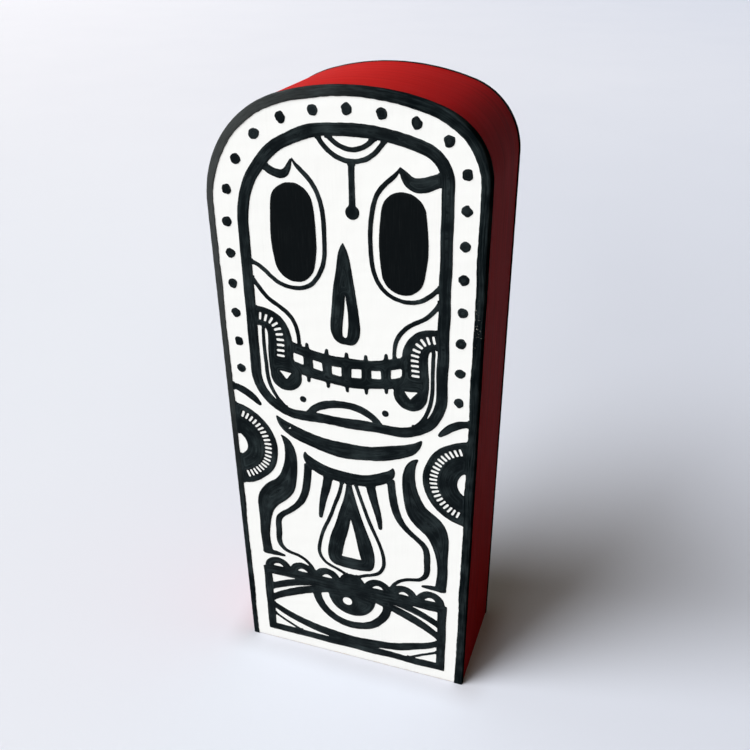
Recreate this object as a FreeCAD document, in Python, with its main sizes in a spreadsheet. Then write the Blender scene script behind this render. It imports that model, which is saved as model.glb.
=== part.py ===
import FreeCAD, Part
import math
import os
import Sketcher

# A free-standing block of wood with an arched top, painted all round: red on its edge, white on its
# two faces, a black band round each face, and a black skull figure on the front made of many
# separate brush strokes.  Every coat and every stroke is a thin solid of its own.
#
# Frame: +Z up, +X to the right seen from the front, the front faces -Y.  The origin is the middle of
# the base.

# ---------------------------------------------------------------- driving sizes (mm)
SIZES = [
    ("block_width", 95.0, "wood, side to side"),
    ("block_depth", 45.0, "wood, front to back"),
    ("block_height", 236.0, "wood, base to crown"),
    ("crown_radius", 86.0, "flat arc at the top of the arch"),
    ("crown_offset", 4.0, "crown lies this far right of the middle"),
    ("left_shoulder_radius", 38.0, "arc between left side and crown"),
    ("right_shoulder_radius", 23.7, "arc between right side and crown"),
    ("edge_coat", 0.2, "thickness of the red coat"),
    ("ground_film", 0.3, "thickness of the white ground"),
    ("ink_film", 0.2, "thickness of the black paint"),
    ("rim_width", 2.5, "black band on a face, in from the wood's edge"),
    ("rim_wrap", 2.0, "black band on the edge, back from the face"),
    ("layout_width", 95.0, "width that the brush strokes are laid out on"),
    ("layout_height", 236.0, "height that the brush strokes are laid out on"),
    ("hood_inset", 10.4, "wood's edge to the hood line"),
    ("hood_pen", 4.1, "width of the hood line"),
    ("hood_ease", 7.0, "left shoulder arc of the hood, wider than the block's own"),
    ("hood_floor", 117.0, "bottom of the hood line"),
    ("hood_corner", 18.0, "outer radius of the hood's bottom corners"),
    ("dot_radius", 1.8, "border dot"),
    ("dot_count", 23.0, "border dots"),
    ("dot_floor", 135.0, "lowest border dots"),
    ("eye_axis", 2.0, "middle of the two eyes"),
    ("mouth_axis", 0.4, "middle of the nose and the teeth"),
    ("eye_spread", 19.0, "eye middle to eye axis"),
    ("eye_level", 189.0, "height of the eyes"),
    ("socket_half_width", 8.2, "eye socket"),
    ("socket_half_height", 17.0, "eye socket"),
    ("socket_end_radius", 7.4, "eye socket, top and bottom"),
    ("fine_pen", 1.6, "width of the thin lines"),
    ("tooth_pen", 3.7, "width of the lines between the teeth"),
    ("lip_pen", 4.0, "width of the bars above and below the teeth"),
    ("right_brow_weight", 1.6, "width of the right brow, against the left one's"),
    ("tooth_pitch", 7.3, "line to line across the teeth"),
    ("pendant_radius", 2.4, "ball under the forehead arcs"),
    ("chin_dot_radius", 1.3, "dots beside the chin crescent"),
    ("rosette_radius", 18.6, "half rosettes at both edges"),
    ("rosette_level", 101.3, "height of the rosettes"),
    ("rosette_ring", 2.5, "solid ring outside the rosette's white ticks"),
    ("tick_length", 3.0, "white ticks of the rosettes and cheeks"),
    ("tick_width", 0.95, "white ticks of the rosettes and cheeks"),
    ("tick_count", 21.0, "white ticks in one rosette"),
    ("pupil_half_height", 5.0, "white half moon in a rosette"),
    ("pupil_depth", 3.2, "white half moon in a rosette"),
    ("rosette_gap", 2.9, "white gap from rosette to robe band"),
    ("fold_gap", 3.0, "white gap from robe band to robe fold"),
    ("band_tip_rise", 7.3, "tip of the robe band over the middle of the rosette"),
    ("foot_gap", 2.2, "top of the scallops to the middle of the robe band's toe"),
    ("panel_half_width", 40.0, "eye panel frame"),
    ("panel_floor", 5.0, "bottom of the eye panel frame"),
    ("panel_top", 41.0, "top of the eye panel frame"),
    ("panel_pen", 3.7, "bars of the eye panel frame"),
    ("scallop_count", 7.0, "scallops on the eye panel"),
    ("scallop_pitch", 11.0, "scallop to scallop"),
    ("scallop_lap", 0.5, "how far one scallop runs past the middle between two"),
    ("iris_radius", 15.6, "middle of the iris line"),
    ("iris_pen", 3.7, "iris line"),
    ("pupil_radius", 10.2, "pupil of the panel's eye"),
    ("glint_radius", 2.1, "white spot in that pupil"),
]

FRONT = 1
BACK = -1
LEFT = -1
RIGHT = 1
BELOW_BASE = 1.0        # a cut that opens through the base starts this far under it
TIP = 0.0               # pen width at a pointed end of a stroke
BAND_AT_YOKE = 5.0      # pen width of a robe band beside the tip of the yoke
FOLD_PEN = 3.2          # pen width of a robe fold there
SAMPLES_PER_SPAN = 4    # outline points worked out between two points of a stroke


# ---------------------------------------------------------------- sizes with their formulas
class Term:
    """A number worked out from sheet sizes, together with the expression that gives it."""

    def __init__(self, number, formula):
        self.number = number
        self.formula = formula

    def __add__(self, other):
        other = as_term(other)
        return Term(self.number + other.number, f"({self.formula} + {other.formula})")

    def __sub__(self, other):
        other = as_term(other)
        return Term(self.number - other.number, f"({self.formula} - {other.formula})")

    def __mul__(self, other):
        other = as_term(other)
        return Term(self.number * other.number, f"({self.formula} * {other.formula})")

    def __truediv__(self, other):
        other = as_term(other)
        return Term(self.number / other.number, f"({self.formula} / {other.formula})")

    def __neg__(self):
        return Term(-self.number, f"(-1 * {self.formula})")


def as_term(value):
    """Give a plain number the form of a Term."""
    return value if isinstance(value, Term) else Term(float(value), str(float(value)))


def make_sheet(document):
    """Write the driving sizes into a spreadsheet and give them back as Terms."""
    sheet = document.addObject("Spreadsheet::Sheet", "Sizes")
    for row, (alias, number, note) in enumerate(SIZES, start=1):
        sheet.set(f"A{row}", alias)
        sheet.set(f"B{row}", str(number))
        sheet.set(f"C{row}", note)
        sheet.setAlias(f"B{row}", alias)
    document.recompute()
    return {alias: Term(float(sheet.get(alias)), f"Sizes.{alias}") for alias, _, _ in SIZES}


doc = FreeCAD.newDocument("painted_block")
size = make_sheet(doc)
nodes = {}

ZERO = as_term(0)
half_width = size["block_width"] / 2
half_depth = size["block_depth"] / 2
face_level = half_depth + size["ground_film"]      # outer surface of the white ground
ink_level = face_level + size["ink_film"]          # outer surface of the black paint
across = size["block_width"] / size["layout_width"]
upward = size["block_height"] / size["layout_height"]
hood_low = size["hood_floor"] * upward
hood_top = size["block_height"] - size["hood_inset"]
head_stretch = (hood_top - hood_low) / (size["layout_height"] - size["hood_inset"] - size["hood_floor"])
hood_middle = size["hood_inset"] + size["hood_pen"] / 2      # wood's edge to the middle of the hood line


scallop_pitch = size["scallop_pitch"] * across
scallop_radius = scallop_pitch / 2 + size["scallop_lap"]
panel_top = size["panel_top"] * upward
foot_level = panel_top + scallop_radius + size["foot_gap"]


def number(alias):
    """One driving size as a plain number."""
    return size[alias].number


# ---------------------------------------------------------------- bodies, sketches and pads
def new_body(name):
    """A body whose pads may lie apart from each other."""
    body = doc.addObject("PartDesign::Body", name)
    body.Label = name
    body.AllowCompound = True
    return body


def new_sketch(body, name, side, distance):
    """A sketch parallel to the faces of the block, at a distance from its middle plane."""
    plane = next(f for f in body.Origin.OriginFeatures if f.Role == "XZ_Plane")
    sketch = body.newObject("Sketcher::SketchObject", name)
    sketch.AttachmentSupport = [(plane, "")]
    sketch.MapMode = "FlatFace"
    sketch.setExpression("AttachmentOffset.Base.z", (distance * side).formula)
    return sketch


def bind(sketch, kind, *targets):
    """Add a constraint whose value is a Term, and bind it to the sheet."""
    term = targets[-1]
    index = sketch.addConstraint(Sketcher.Constraint(kind, *targets[:-1], term.number))
    sketch.setExpression(f"Constraints[{index}]", term.formula)


def pad(body, sketch, length, side=FRONT, midplane=False):
    """Grow a sketch outwards from the block, or both ways from the middle plane."""
    feature = body.newObject("PartDesign::Pad", f"{sketch.Name}_pad")
    feature.Profile = sketch
    feature.setExpression("Length", length.formula)
    feature.Midplane = midplane
    feature.Reversed = side == BACK
    doc.recompute()
    return feature


def pocket(body, sketch, length, side=FRONT, midplane=False):
    """Cut a sketch inwards from its plane, and check that something was cut."""
    before = body.Shape.Volume
    feature = body.newObject("PartDesign::Pocket", f"{sketch.Name}_pocket")
    feature.Profile = sketch
    feature.setExpression("Length", length.formula)
    feature.Midplane = midplane
    feature.Reversed = side == BACK
    doc.recompute()
    if body.Shape.Volume >= before:
        raise RuntimeError(f"{sketch.Name} cuts nothing")
    return feature


def finish(name, solid):
    """Name a finished sub-part, so that it gets a file."""
    solid.Label = name
    nodes[name] = solid
    return solid


def trimmed(name, stroke, *covers):
    """A stroke that stops where the strokes beside it begin."""
    shape = stroke
    for step, cover in enumerate(covers, start=1):
        cut = doc.addObject("Part::Cut", f"{name}_cut_{step}")
        cut.Base = shape
        cut.Tool = cover
        shape = cut
    doc.recompute()
    stroke.Label = f"{name}_stroke"
    return finish(name, shape)


# ---------------------------------------------------------------- outlines
def shoulder(side, grow=0.0, ease=0.0):
    """Middle and radius of a shoulder arc, which touches the side of the block and the crown arc.

    The left arc may be eased, which gives it a wider bend.
    """
    radius = number(f"{side_name(side)}_shoulder_radius") + (ease if side == LEFT else 0.0)
    x = side * (half_width.number - radius)
    crown_x, crown_z = number("crown_offset"), number("block_height") - number("crown_radius")
    z = crown_z + math.sqrt((number("crown_radius") - radius) ** 2 - (x - crown_x) ** 2)
    return x, z, radius + grow


def on_hood(side, z):
    """A place on the middle of the hood line, at a height below its crown."""
    x, shoulder_z, radius = shoulder(side, -hood_middle.number, number("hood_ease"))
    above = max(head_height(z) - shoulder_z, 0.0)
    return x + side * math.sqrt(radius ** 2 - above ** 2), head_height(z)


def arch_edges(grow, low, rise=0.0, ease=0.0):
    """The block's outline grown by a number: left side, three arcs, right side, base, two bends."""
    left, right = -half_width.number - grow, half_width.number + grow
    crown_x, crown_z = number("crown_offset"), number("block_height") - number("crown_radius")
    turns = [shoulder(side, grow, ease) for side in (LEFT, RIGHT)]
    angles = [math.atan2(z - crown_z, x - crown_x) for x, z, _ in turns]
    edges = [
        line(left, low + rise, left, turns[0][1]),
        arc(*turns[0], angles[0], math.pi),
        arc(crown_x, crown_z, number("crown_radius") + grow, angles[1], angles[0]),
        arc(*turns[1], 0.0, angles[1]),
        line(right, turns[1][1], right, low + rise),
        line(right - rise, low, left + rise, low),
    ]
    if rise:
        edges.append(arc(right - rise, low + rise, rise, -math.pi / 2, 0.0))
        edges.append(arc(left + rise, low + rise, rise, math.pi, 1.5 * math.pi))
    return edges


def arch(sketch, grow, floor, corner=None, ease=ZERO):
    """The block's outline, grown by a Term: two sides and three arcs that are tangent to each other.

    The floor is the height of its base line, corner is the radius of its two bottom corners, and
    ease is how much wider its left shoulder bends.
    """
    rise = corner.number if corner else 0.0
    added = sketch.addGeometry(arch_edges(grow.number, floor.number, rise, ease.number))
    side_a, turn_a, crown, turn_b, side_b, base = added[:6]
    ties = [
        ("Tangent", side_a, 2, turn_a, 2), ("Tangent", turn_a, 1, crown, 2),
        ("Tangent", crown, 1, turn_b, 2), ("Tangent", turn_b, 1, side_b, 1),
        ("Vertical", side_a), ("Vertical", side_b), ("Horizontal", base),
    ]
    if corner:
        bend_b, bend_a = added[6:]
        ties += [
            ("Tangent", side_b, 2, bend_b, 2), ("Tangent", bend_b, 1, base, 1),
            ("Tangent", base, 2, bend_a, 2), ("Tangent", bend_a, 1, side_a, 1),
            ("Equal", bend_b, bend_a),
        ]
    else:
        ties += [("Coincident", side_b, 2, base, 1), ("Coincident", base, 2, side_a, 1)]
    sketch.addConstraint([Sketcher.Constraint(*tie) for tie in ties])
    bind(sketch, "DistanceX", side_a, 2, -half_width - grow)
    bind(sketch, "DistanceX", side_b, 1, half_width + grow)
    bind(sketch, "DistanceX", crown, 3, size["crown_offset"])
    bind(sketch, "DistanceY", crown, 3, size["block_height"] - size["crown_radius"])
    bind(sketch, "Radius", turn_a, size["left_shoulder_radius"] + ease + grow)
    bind(sketch, "Radius", crown, size["crown_radius"] + grow)
    bind(sketch, "Radius", turn_b, size["right_shoulder_radius"] + grow)
    if corner:
        bind(sketch, "Radius", bend_b, corner)
    if floor.number == 0.0:
        sketch.addConstraint(Sketcher.Constraint("PointOnObject", base, 1, -1))
    else:
        bind(sketch, "DistanceY", base, 1, floor)


def line(x1, z1, x2, z2):
    """A straight edge in a sketch."""
    return Part.LineSegment(FreeCAD.Vector(x1, z1, 0), FreeCAD.Vector(x2, z2, 0))


def arc(x, z, radius, start, end):
    """An arc in a sketch, anticlockwise from one angle to the other."""
    circle = Part.Circle(FreeCAD.Vector(x, z, 0), FreeCAD.Vector(0, 0, 1), radius)
    return Part.ArcOfCircle(circle, start, end)


def spline(points):
    """A smooth edge through points."""
    curve = Part.BSplineCurve()
    curve.interpolate([FreeCAD.Vector(x, z, 0) for x, z in points])
    return curve


def polygon(points):
    """A closed run of straight edges."""
    return [line(*a, *b) for a, b in zip(points, points[1:] + points[:1])]


class Brush:
    """The path of a brush: points of x, z and pen width, joined by one smooth curve.

    An end that lies under another stroke may be flat, so that nothing comes out on its far side.
    """

    def __init__(self, points, flat_start=False, flat_end=False):
        self.flat = (flat_start, flat_end)
        self.curve = Part.BSplineCurve()
        self.curve.interpolate([FreeCAD.Vector(x, z, pen) for x, z, pen in points])
        self.spans = len(points) - 1

    def at(self, share):
        """Place, direction and pen width at a share of the path."""
        low, high = self.curve.FirstParameter, self.curve.LastParameter
        spot, slope = self.curve.getD1(low + share * (high - low))
        length = math.hypot(slope.x, slope.y)
        return spot.x, spot.y, slope.x / length, slope.y / length, max(spot.z, TIP)

    def outline(self):
        """Both sides of the stroke, with round ends where the pen has a width there."""
        count = self.spans * SAMPLES_PER_SPAN
        places = [self.at(step / count) for step in range(count + 1)]
        sides = [[(x - turn * dz * pen / 2, z + turn * dx * pen / 2) for x, z, dx, dz, pen in places]
                 for turn in (1, -1)]
        edges = [spline(side) for side in sides]
        for end, flat, opening in zip((0, -1), self.flat, (math.pi / 2, -math.pi / 2)):
            x, z, dx, dz, pen = places[end]
            if flat:
                edges.append(line(*sides[0][end], *sides[1][end]))
            elif pen > TIP:
                start = math.atan2(dz, dx) + opening
                edges.append(arc(x, z, pen / 2, start, start + math.pi))
        return edges

    def ticks(self, count, first, last, length, width):
        """Short bars across the path, evenly spaced between two shares of it."""
        bars = []
        for step in range(count):
            x, z, dx, dz, _ = self.at(first + (last - first) * step / (count - 1))
            bars.append(bar_outline(x, z, dx, dz, length, width))
        return bars


def bar_outline(x, z, dx, dz, length, width):
    """A rectangle whose long sides run across the direction (dx, dz)."""
    corners = [(-width, -length), (width, -length), (width, length), (-width, length)]
    return polygon([(x + (a * dx - b * dz) / 2, z + (a * dz + b * dx) / 2) for a, b in corners])


def paint(body, name, outlines):
    """Lay one film of black paint on the white ground, inside the given closed outlines."""
    sketch = new_sketch(body, name, FRONT, face_level)
    for edges in outlines:
        first = sketch.GeometryCount
        sketch.addGeometry(edges)
        sketch.addConstraint([Sketcher.Constraint("Block", index)
                              for index in range(first, sketch.GeometryCount)])
    return pad(body, sketch, size["ink_film"])


def scratch(body, name, outlines):
    """Leave the white ground bare inside the given closed outlines."""
    sketch = new_sketch(body, name, FRONT, ink_level)
    for edges in outlines:
        sketch.addGeometry(edges)
    return pocket(body, sketch, size["ink_film"])


def stroke(name, *brushes):
    """One painted sub-part made of one or more brush strokes that run into each other."""
    body = new_body(name)
    for step, brush in enumerate(brushes, start=1):
        paint(body, f"{name}_line_{step}", [brush.outline()])
    return body


def low_part(points):
    """Points of the robe and the panel, laid out from the base up."""
    return [(x * across.number, z * upward.number, pen) for x, z, pen in points]


def head_part(side, axis, points):
    """Points of the head, laid out from the bottom of the hood up, and outwards from an axis."""
    return [(axis + side * x * across.number, head_height(z), pen) for x, z, pen in points]


def head_height(z):
    """Height of a point of the head, stretched with the hood."""
    return hood_low.number + (z - number("hood_floor")) * head_stretch.number


def both_ways(points):
    """A path that is the same on both sides: its left half, then the mirror image of it."""
    mirror = [(-x, z, pen) for x, z, pen in reversed(points)]
    return points + (mirror[1:] if points[-1][0] == 0 else mirror)


def side_name(side):
    return "left" if side == LEFT else "right"


# ---------------------------------------------------------------- the block and its coats
def make_block():
    body = new_body("wood_block")
    sketch = new_sketch(body, "block_outline", FRONT, ZERO)
    arch(sketch, ZERO, ZERO)
    pad(body, sketch, size["block_depth"], midplane=True)
    return finish("wood_block", body)


def make_edge_coat():
    body = new_body("red_edge_coat")
    outer = new_sketch(body, "coat_outline", FRONT, ZERO)
    arch(outer, size["edge_coat"], ZERO)
    pad(body, outer, size["block_depth"], midplane=True)
    inner = new_sketch(body, "coat_hollow", FRONT, ZERO)
    arch(inner, ZERO, as_term(-BELOW_BASE))
    pocket(body, inner, size["block_depth"], midplane=True)
    return finish("red_edge_coat", body)


def make_ground(name, side):
    body = new_body(name)
    sketch = new_sketch(body, f"{name}_outline", side, half_depth)
    arch(sketch, size["edge_coat"], ZERO)
    pad(body, sketch, size["ground_film"], side)
    return finish(name, body)


def make_rim_band(name, side):
    """A band on the face that turns over the corner and a little way along the red edge."""
    body = new_body(name)
    wrapped = size["rim_wrap"] + size["ground_film"]
    shell = new_sketch(body, f"{name}_shell", side, half_depth - size["rim_wrap"])
    arch(shell, size["edge_coat"] + size["ink_film"], ZERO)
    pad(body, shell, wrapped + size["ink_film"], side)
    hollow = new_sketch(body, f"{name}_hollow", side, face_level)
    arch(hollow, size["edge_coat"], as_term(-BELOW_BASE))
    pocket(body, hollow, wrapped, side)
    window = new_sketch(body, f"{name}_window", side, ink_level)
    arch(window, -size["rim_width"], as_term(-BELOW_BASE))
    pocket(body, window, size["ink_film"], side)
    return finish(name, body)


# ---------------------------------------------------------------- hood and border
def make_hood():
    body = new_body("hood_outline")
    sketch = new_sketch(body, "hood_ring", FRONT, face_level)
    pen, ease = size["hood_pen"], size["hood_ease"]
    arch(sketch, -size["hood_inset"], hood_low, size["hood_corner"], ease)
    arch(sketch, -size["hood_inset"] - pen, hood_low + pen, size["hood_corner"] - pen, ease)
    pad(body, sketch, size["ink_film"])
    return finish("hood_outline", body)


def make_dots():
    """Dots midway between the rim band and the hood, evenly spaced from side to side."""
    inset = (number("rim_width") + number("hood_inset")) / 2
    edges = arch_edges(-inset, number("dot_floor") * upward.number, ease=number("hood_ease") / 2)[:5]
    path = Part.Wire(Part.__sortEdges__([edge.toShape() for edge in edges]))
    body = new_body("border_dots")
    sketch = new_sketch(body, "border_dot_circles", FRONT, face_level)
    places = path.discretize(Number=int(number("dot_count")))
    circles = sketch.addGeometry([circle(spot.x, spot.y, number("dot_radius")) for spot in places])
    tie_circles(sketch, circles, size["dot_radius"])
    pad(body, sketch, size["ink_film"])
    return finish("border_dots", body)


def circle(x, z, radius):
    return Part.Circle(FreeCAD.Vector(x, z, 0), FreeCAD.Vector(0, 0, 1), radius)


def tie_circles(sketch, circles, radius):
    """Give circles one bound radius."""
    bind(sketch, "Radius", circles[0], radius)
    sketch.addConstraint([Sketcher.Constraint("Equal", circles[0], other) for other in circles[1:]])


# ---------------------------------------------------------------- head
def make_forehead(hood):
    """Two arcs that hang from the top of the hood, and a ball on a stem under them."""
    middle, top = number("crown_offset"), hood_top.number - number("hood_pen")
    pen = number("fine_pen")
    outer = ((-11.4, 0.2), (-8.8, -3.4), (-4.8, -6.4), (0, -7.5), (4.8, -6.4), (8.8, -3.4), (11.4, 0.2))
    inner = ((-8.4, 0.8), (-5.2, -2.2), (0, -3.9), (5.2, -2.2), (8.4, 0.8))
    brushes = [Brush([(middle + x, top + z, pen) for x, z in path], flat_start=True, flat_end=True)
               for path in (outer, inner)]
    arcs = trimmed("forehead_arcs", stroke("forehead_arcs", *brushes), hood)
    ball = top - 23.6
    stem = Brush([(middle, top - 7.5, 2.2), (middle, top - 14.0, 2.1), (middle, ball, 2.4)],
                 flat_start=True)
    body = stroke("pendant", stem)
    sketch = new_sketch(body, "pendant_ball", FRONT, face_level)
    tie_circles(sketch, sketch.addGeometry([circle(middle, ball, number("pendant_radius"))]),
                size["pendant_radius"])
    pad(body, sketch, size["ink_film"])
    trimmed("forehead_pendant", body, arcs)


def make_socket(side):
    """An oval of four arcs that are tangent to each other."""
    name = f"{side_name(side)}_eye_socket"
    across_half, up_half = size["socket_half_width"], size["socket_half_height"] * head_stretch
    end = size["socket_end_radius"]
    shift = up_half - end
    flank = (across_half * across_half + shift * shift - end * end) / ((across_half - end) * 2)
    x = size["eye_axis"] + size["eye_spread"] * across * side
    z = hood_low + (size["eye_level"] - size["hood_floor"]) * head_stretch
    lean = math.atan2(shift.number, flank.number - across_half.number)
    reach = flank.number - across_half.number
    body = new_body(name)
    sketch = new_sketch(body, f"{name}_oval", FRONT, face_level)
    top, left, low, right = sketch.addGeometry([
        arc(x.number, z.number + shift.number, end.number, lean, math.pi - lean),
        arc(x.number + reach, z.number, flank.number, math.pi - lean, math.pi + lean),
        arc(x.number, z.number - shift.number, end.number, math.pi + lean, 2 * math.pi - lean),
        arc(x.number - reach, z.number, flank.number, -lean, lean),
    ])
    for first, second in ((top, left), (left, low), (low, right), (right, top)):
        sketch.addConstraint(Sketcher.Constraint("Tangent", first, 2, second, 1))
    bind(sketch, "DistanceX", top, 3, x)
    bind(sketch, "DistanceY", top, 3, z + shift)
    bind(sketch, "DistanceX", low, 3, x)
    bind(sketch, "DistanceY", low, 3, z - shift)
    bind(sketch, "Radius", top, end)
    bind(sketch, "Radius", left, flank)
    sketch.addConstraint(Sketcher.Constraint("Equal", left, right))
    pad(body, sketch, size["ink_film"])
    finish(name, body)


def make_eye_surround(side, hood):
    """The thin line round an eye, which ends in a peak, and the brow that starts there."""
    axis, fine = number("eye_axis"), number("fine_pen")
    name = side_name(side)
    around = [(*on_hood(side, 177.6), fine)] + head_part(side, axis, [
        (30.6, 175.0, fine), (26.0, 171.2, fine), (20.0, 169.7, fine), (13.6, 171.6, fine),
        (9.6, 177.0, fine), (8.0, 186.0, fine), (8.2, 196.0, fine), (10.2, 204.0, fine),
        (13.6, 208.6, fine), (16.4, 211.2, 1.3), (18.0, 213.8, TIP)])
    eye_line = trimmed(f"{name}_eye_line", stroke(f"{name}_eye_line", Brush(around, flat_start=True)),
                       hood)
    weight = number("right_brow_weight") if side == RIGHT else 1.0
    peak, (end_x, end_z) = 18.3, on_hood(side, 212.0)
    reach = side * (end_x - axis) / across.number - peak
    brow = head_part(side, axis, [(peak + reach * share, z, pen * weight) for share, z, pen in (
        (0.0, 213.4, TIP), (0.08, 210.8, 1.9), (0.26, 208.6, 2.6), (0.48, 208.5, 2.8))])
    brow.append((end_x, end_z, 2.2 * weight))
    trimmed(f"{name}_brow", stroke(f"{name}_brow", Brush(brow, flat_end=True)), hood, eye_line)


def make_nose():
    """A long drop, point up, with a narrow white slit in it."""
    middle = number("mouth_axis")
    half = [(0.0, 187.6), (1.5, 184.6), (2.8, 178.0), (4.4, 168.0), (5.3, 159.0), (5.0, 154.0),
            (3.2, 151.4)]
    right = [(middle + x, head_height(z)) for x, z in half]
    left = [(2 * middle - x, z) for x, z in reversed(right)]
    slit = [(middle + x, head_height(z), pen) for x, z, pen in
            ((0.4, 169.4, TIP), (0.3, 164.0, 1.2), (0.1, 158.0, 2.0), (-0.1, 154.4, 1.7))]
    body = new_body("nose")
    bottom = (middle, head_height(150.8))
    paint(body, "nose_drop", [[spline(right + [bottom] + left)]])
    scratch(body, "nose_slit", [Brush(slit).outline()])
    finish("nose", body)


def cheek_path(side):
    """The middle of the broad cheek stroke, from the hood down to the jaw."""
    start = [(*on_hood(side, 157.4), 7.4)]
    return start + head_part(side, number("mouth_axis"), [
        (30.6, 157.0, 7.6), (27.0, 155.2, 8.2), (25.2, 151.4, 9.0), (25.0, 146.0, 9.6),
        (25.1, 140.0, 9.8), (24.6, 136.0, 10.4)])


def make_cheek(side, hood):
    """A broad stroke with white ticks across it, which ends in a loop at the jaw."""
    name = f"{side_name(side)}_cheek"
    path = Brush(cheek_path(side), flat_start=True)
    middle, low, _ = head_part(side, number("mouth_axis"), [(23.5, 134.8, 0)])[0]
    body = new_body(name)
    paint(body, f"{name}_stroke", [path.outline()])
    paint(body, f"{name}_loop", [[circle(middle, low, 6.2)]])
    length, width = number("tick_length"), number("tick_width")
    scratch(body, f"{name}_ticks", path.ticks(10, 0.12, 0.76, length, width))
    hole = [(middle - 2.2 * side, low + 1.4), (middle + 2.6 * side, low + 1.6), (middle, low - 1.6)]
    scratch(body, f"{name}_hole", [polygon(hole)])
    return trimmed(name, body, hood)


def make_teeth(cheeks):
    """Two bars across the mouth and the thin lines that cross them like stitches."""
    middle, pen, lip = number("mouth_axis"), number("tooth_pen"), number("lip_pen")

    def height(z, x):
        return head_height(z + 3.4 * (x / 21.0) ** 2)

    reach = (-21.0, -14.0, -7.0, 0.0, 7.0, 14.0, 21.0)
    bars = [[(middle + x * across.number, height(z, x), lip) for x in reach]
            for z in (143.6, 136.2)]
    pitch = number("tooth_pitch") * across.number
    for step in range(-2, 3):
        x = step * number("tooth_pitch")
        bars.append([(middle + step * pitch, height(z, x), thick) for z, thick in (
            (147.2, 1.3), (145.8, 1.6), (143.4, pen * 0.85), (140.0, pen), (136.6, pen * 0.85),
            (134.2, 1.6), (132.6, 1.3))])
    return trimmed("teeth", stroke("teeth", *[Brush(bar) for bar in bars]), *cheeks)


def make_side_lines(side, hood, cheek, teeth):
    """The thin lines above the cheek and outside the jaw."""
    axis, fine = number("mouth_axis"), number("fine_pen")
    name = side_name(side)
    above = [(*on_hood(side, 173.5), fine)] + head_part(side, axis, [
        (31.8, 168.6, fine), (28.6, 164.8, fine), (24.0, 161.8, fine), (19.8, 158.0, fine),
        (17.9, 153.0, 1.5), (17.6, 147.2, 1.4)])
    trimmed(f"{name}_cheek_line", stroke(f"{name}_cheek_line", Brush(above, flat_start=True)),
            hood, teeth)
    jaw = head_part(side, axis, [(31.3, 152.6, 1.3), (31.4, 146.0, 1.4), (31.2, 138.0, 1.5),
                                 (30.6, 131.6, 1.5), (28.6, 126.6, 1.5), (24.6, 121.6, 1.5)])
    trimmed(f"{name}_jaw_line", stroke(f"{name}_jaw_line", Brush(jaw)), hood, cheek)


def make_chin(hood):
    """A crescent that stands on the bottom of the hood, with a dot on either side."""
    floor = hood_low.number + number("hood_pen")
    axis = number("mouth_axis") - 1.6
    half = [(-14.6, -1.6, 1.6), (-11.6, 1.6, 2.8), (-6.4, 4.4, 3.2), (0, 5.2, 2.8)]
    path = [(axis + x * across.number, floor + z, pen) for x, z, pen in both_ways(half)]
    trimmed("chin_crescent", stroke("chin_crescent", Brush(path)), hood)
    body = new_body("chin_dots")
    sketch = new_sketch(body, "chin_dot_circles", FRONT, face_level)
    radius = number("chin_dot_radius")
    circles = sketch.addGeometry([circle(axis + side * 15.9 * across.number, floor + 4.8, radius)
                                  for side in (LEFT, RIGHT)])
    tie_circles(sketch, circles, size["chin_dot_radius"])
    pad(body, sketch, size["ink_film"])
    finish("chin_dots", body)


# ---------------------------------------------------------------- rosettes and robe
def from_rosette(side, points):
    """Points given by angle, distance beyond the rosette's rim, and pen width."""
    level = (size["rosette_level"] * upward).number
    placed = []
    for angle, beyond, pen in points:
        reach = number("rosette_radius") + beyond
        turn = math.radians(angle)
        placed.append((side * (half_width.number - reach * math.cos(turn)),
                       level + reach * math.sin(turn), pen))
    return placed


def make_rosette(side):
    """Half a disc against the rim band, with a circle of white ticks and a white half moon."""
    name = f"{side_name(side)}_rosette"
    edge = side * (half_width.number - number("rim_width"))
    centre = side * half_width.number
    level = (size["rosette_level"] * upward).number
    radius, moon = number("rosette_radius"), number("pupil_half_height")
    lean = math.acos(number("rim_width") / radius)
    rise = radius * math.sin(lean)
    depth = number("pupil_depth")
    bulge = (moon ** 2 + depth ** 2) / (2 * depth)
    bulge_x = edge - side * (depth - bulge)
    swing = math.asin(moon / bulge)
    facing = 0.0 if side == LEFT else math.pi
    outline = [
        arc(centre, level, radius, facing - lean, facing + lean),
        arc(bulge_x, level, bulge, facing - swing, facing + swing),
        line(edge, level + moon, edge, level + rise),
        line(edge, level - rise, edge, level - moon),
    ]
    body = new_body(name)
    paint(body, f"{name}_disc", [outline])
    length, width = number("tick_length"), number("tick_width")
    middle = radius - number("rosette_ring") - length / 2
    swing = math.acos((number("rim_width") + length / 2 + width) / middle)
    count = int(number("tick_count"))
    ticks = []
    for step in range(count):
        turn = swing * (2 * step / (count - 1) - 1)
        x, z = -side * math.cos(turn), math.sin(turn)
        ticks.append(bar_outline(centre + middle * x, level + middle * z, -z, x, length, width))
    scratch(body, f"{name}_ticks", ticks)
    finish(name, body)


def make_shoulder_crescent(side, rim):
    """A curl between the rosette and the bottom corner of the hood, as far out as there is room."""
    name = f"{side_name(side)}_shoulder_crescent"
    bend_in = number("hood_inset") + number("hood_corner")
    bend_up = hood_low.number + number("hood_corner") - (size["rosette_level"] * upward).number
    room = math.hypot(bend_in, bend_up) - number("rosette_radius") - number("hood_corner")
    path = from_rosette(side, [(angle, share * room, pen) for angle, share, pen in
                               ((86, 0.96, 2.6), (78, 0.91, 3.0), (68, 0.78, 3.0), (57, 0.62, 1.6))])
    trimmed(name, stroke(name, Brush(path, flat_start=True)), rim)


def make_collar():
    """A broad crescent under the hood."""
    half = [(-28.2, 116.6, 0.8), (-24.0, 112.4, 4.6), (-15.0, 108.9, 6.0), (0.0, 106.7, 6.6)]
    finish("collar_crescent", stroke("collar_crescent", Brush(low_part(both_ways(half)))))


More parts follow.
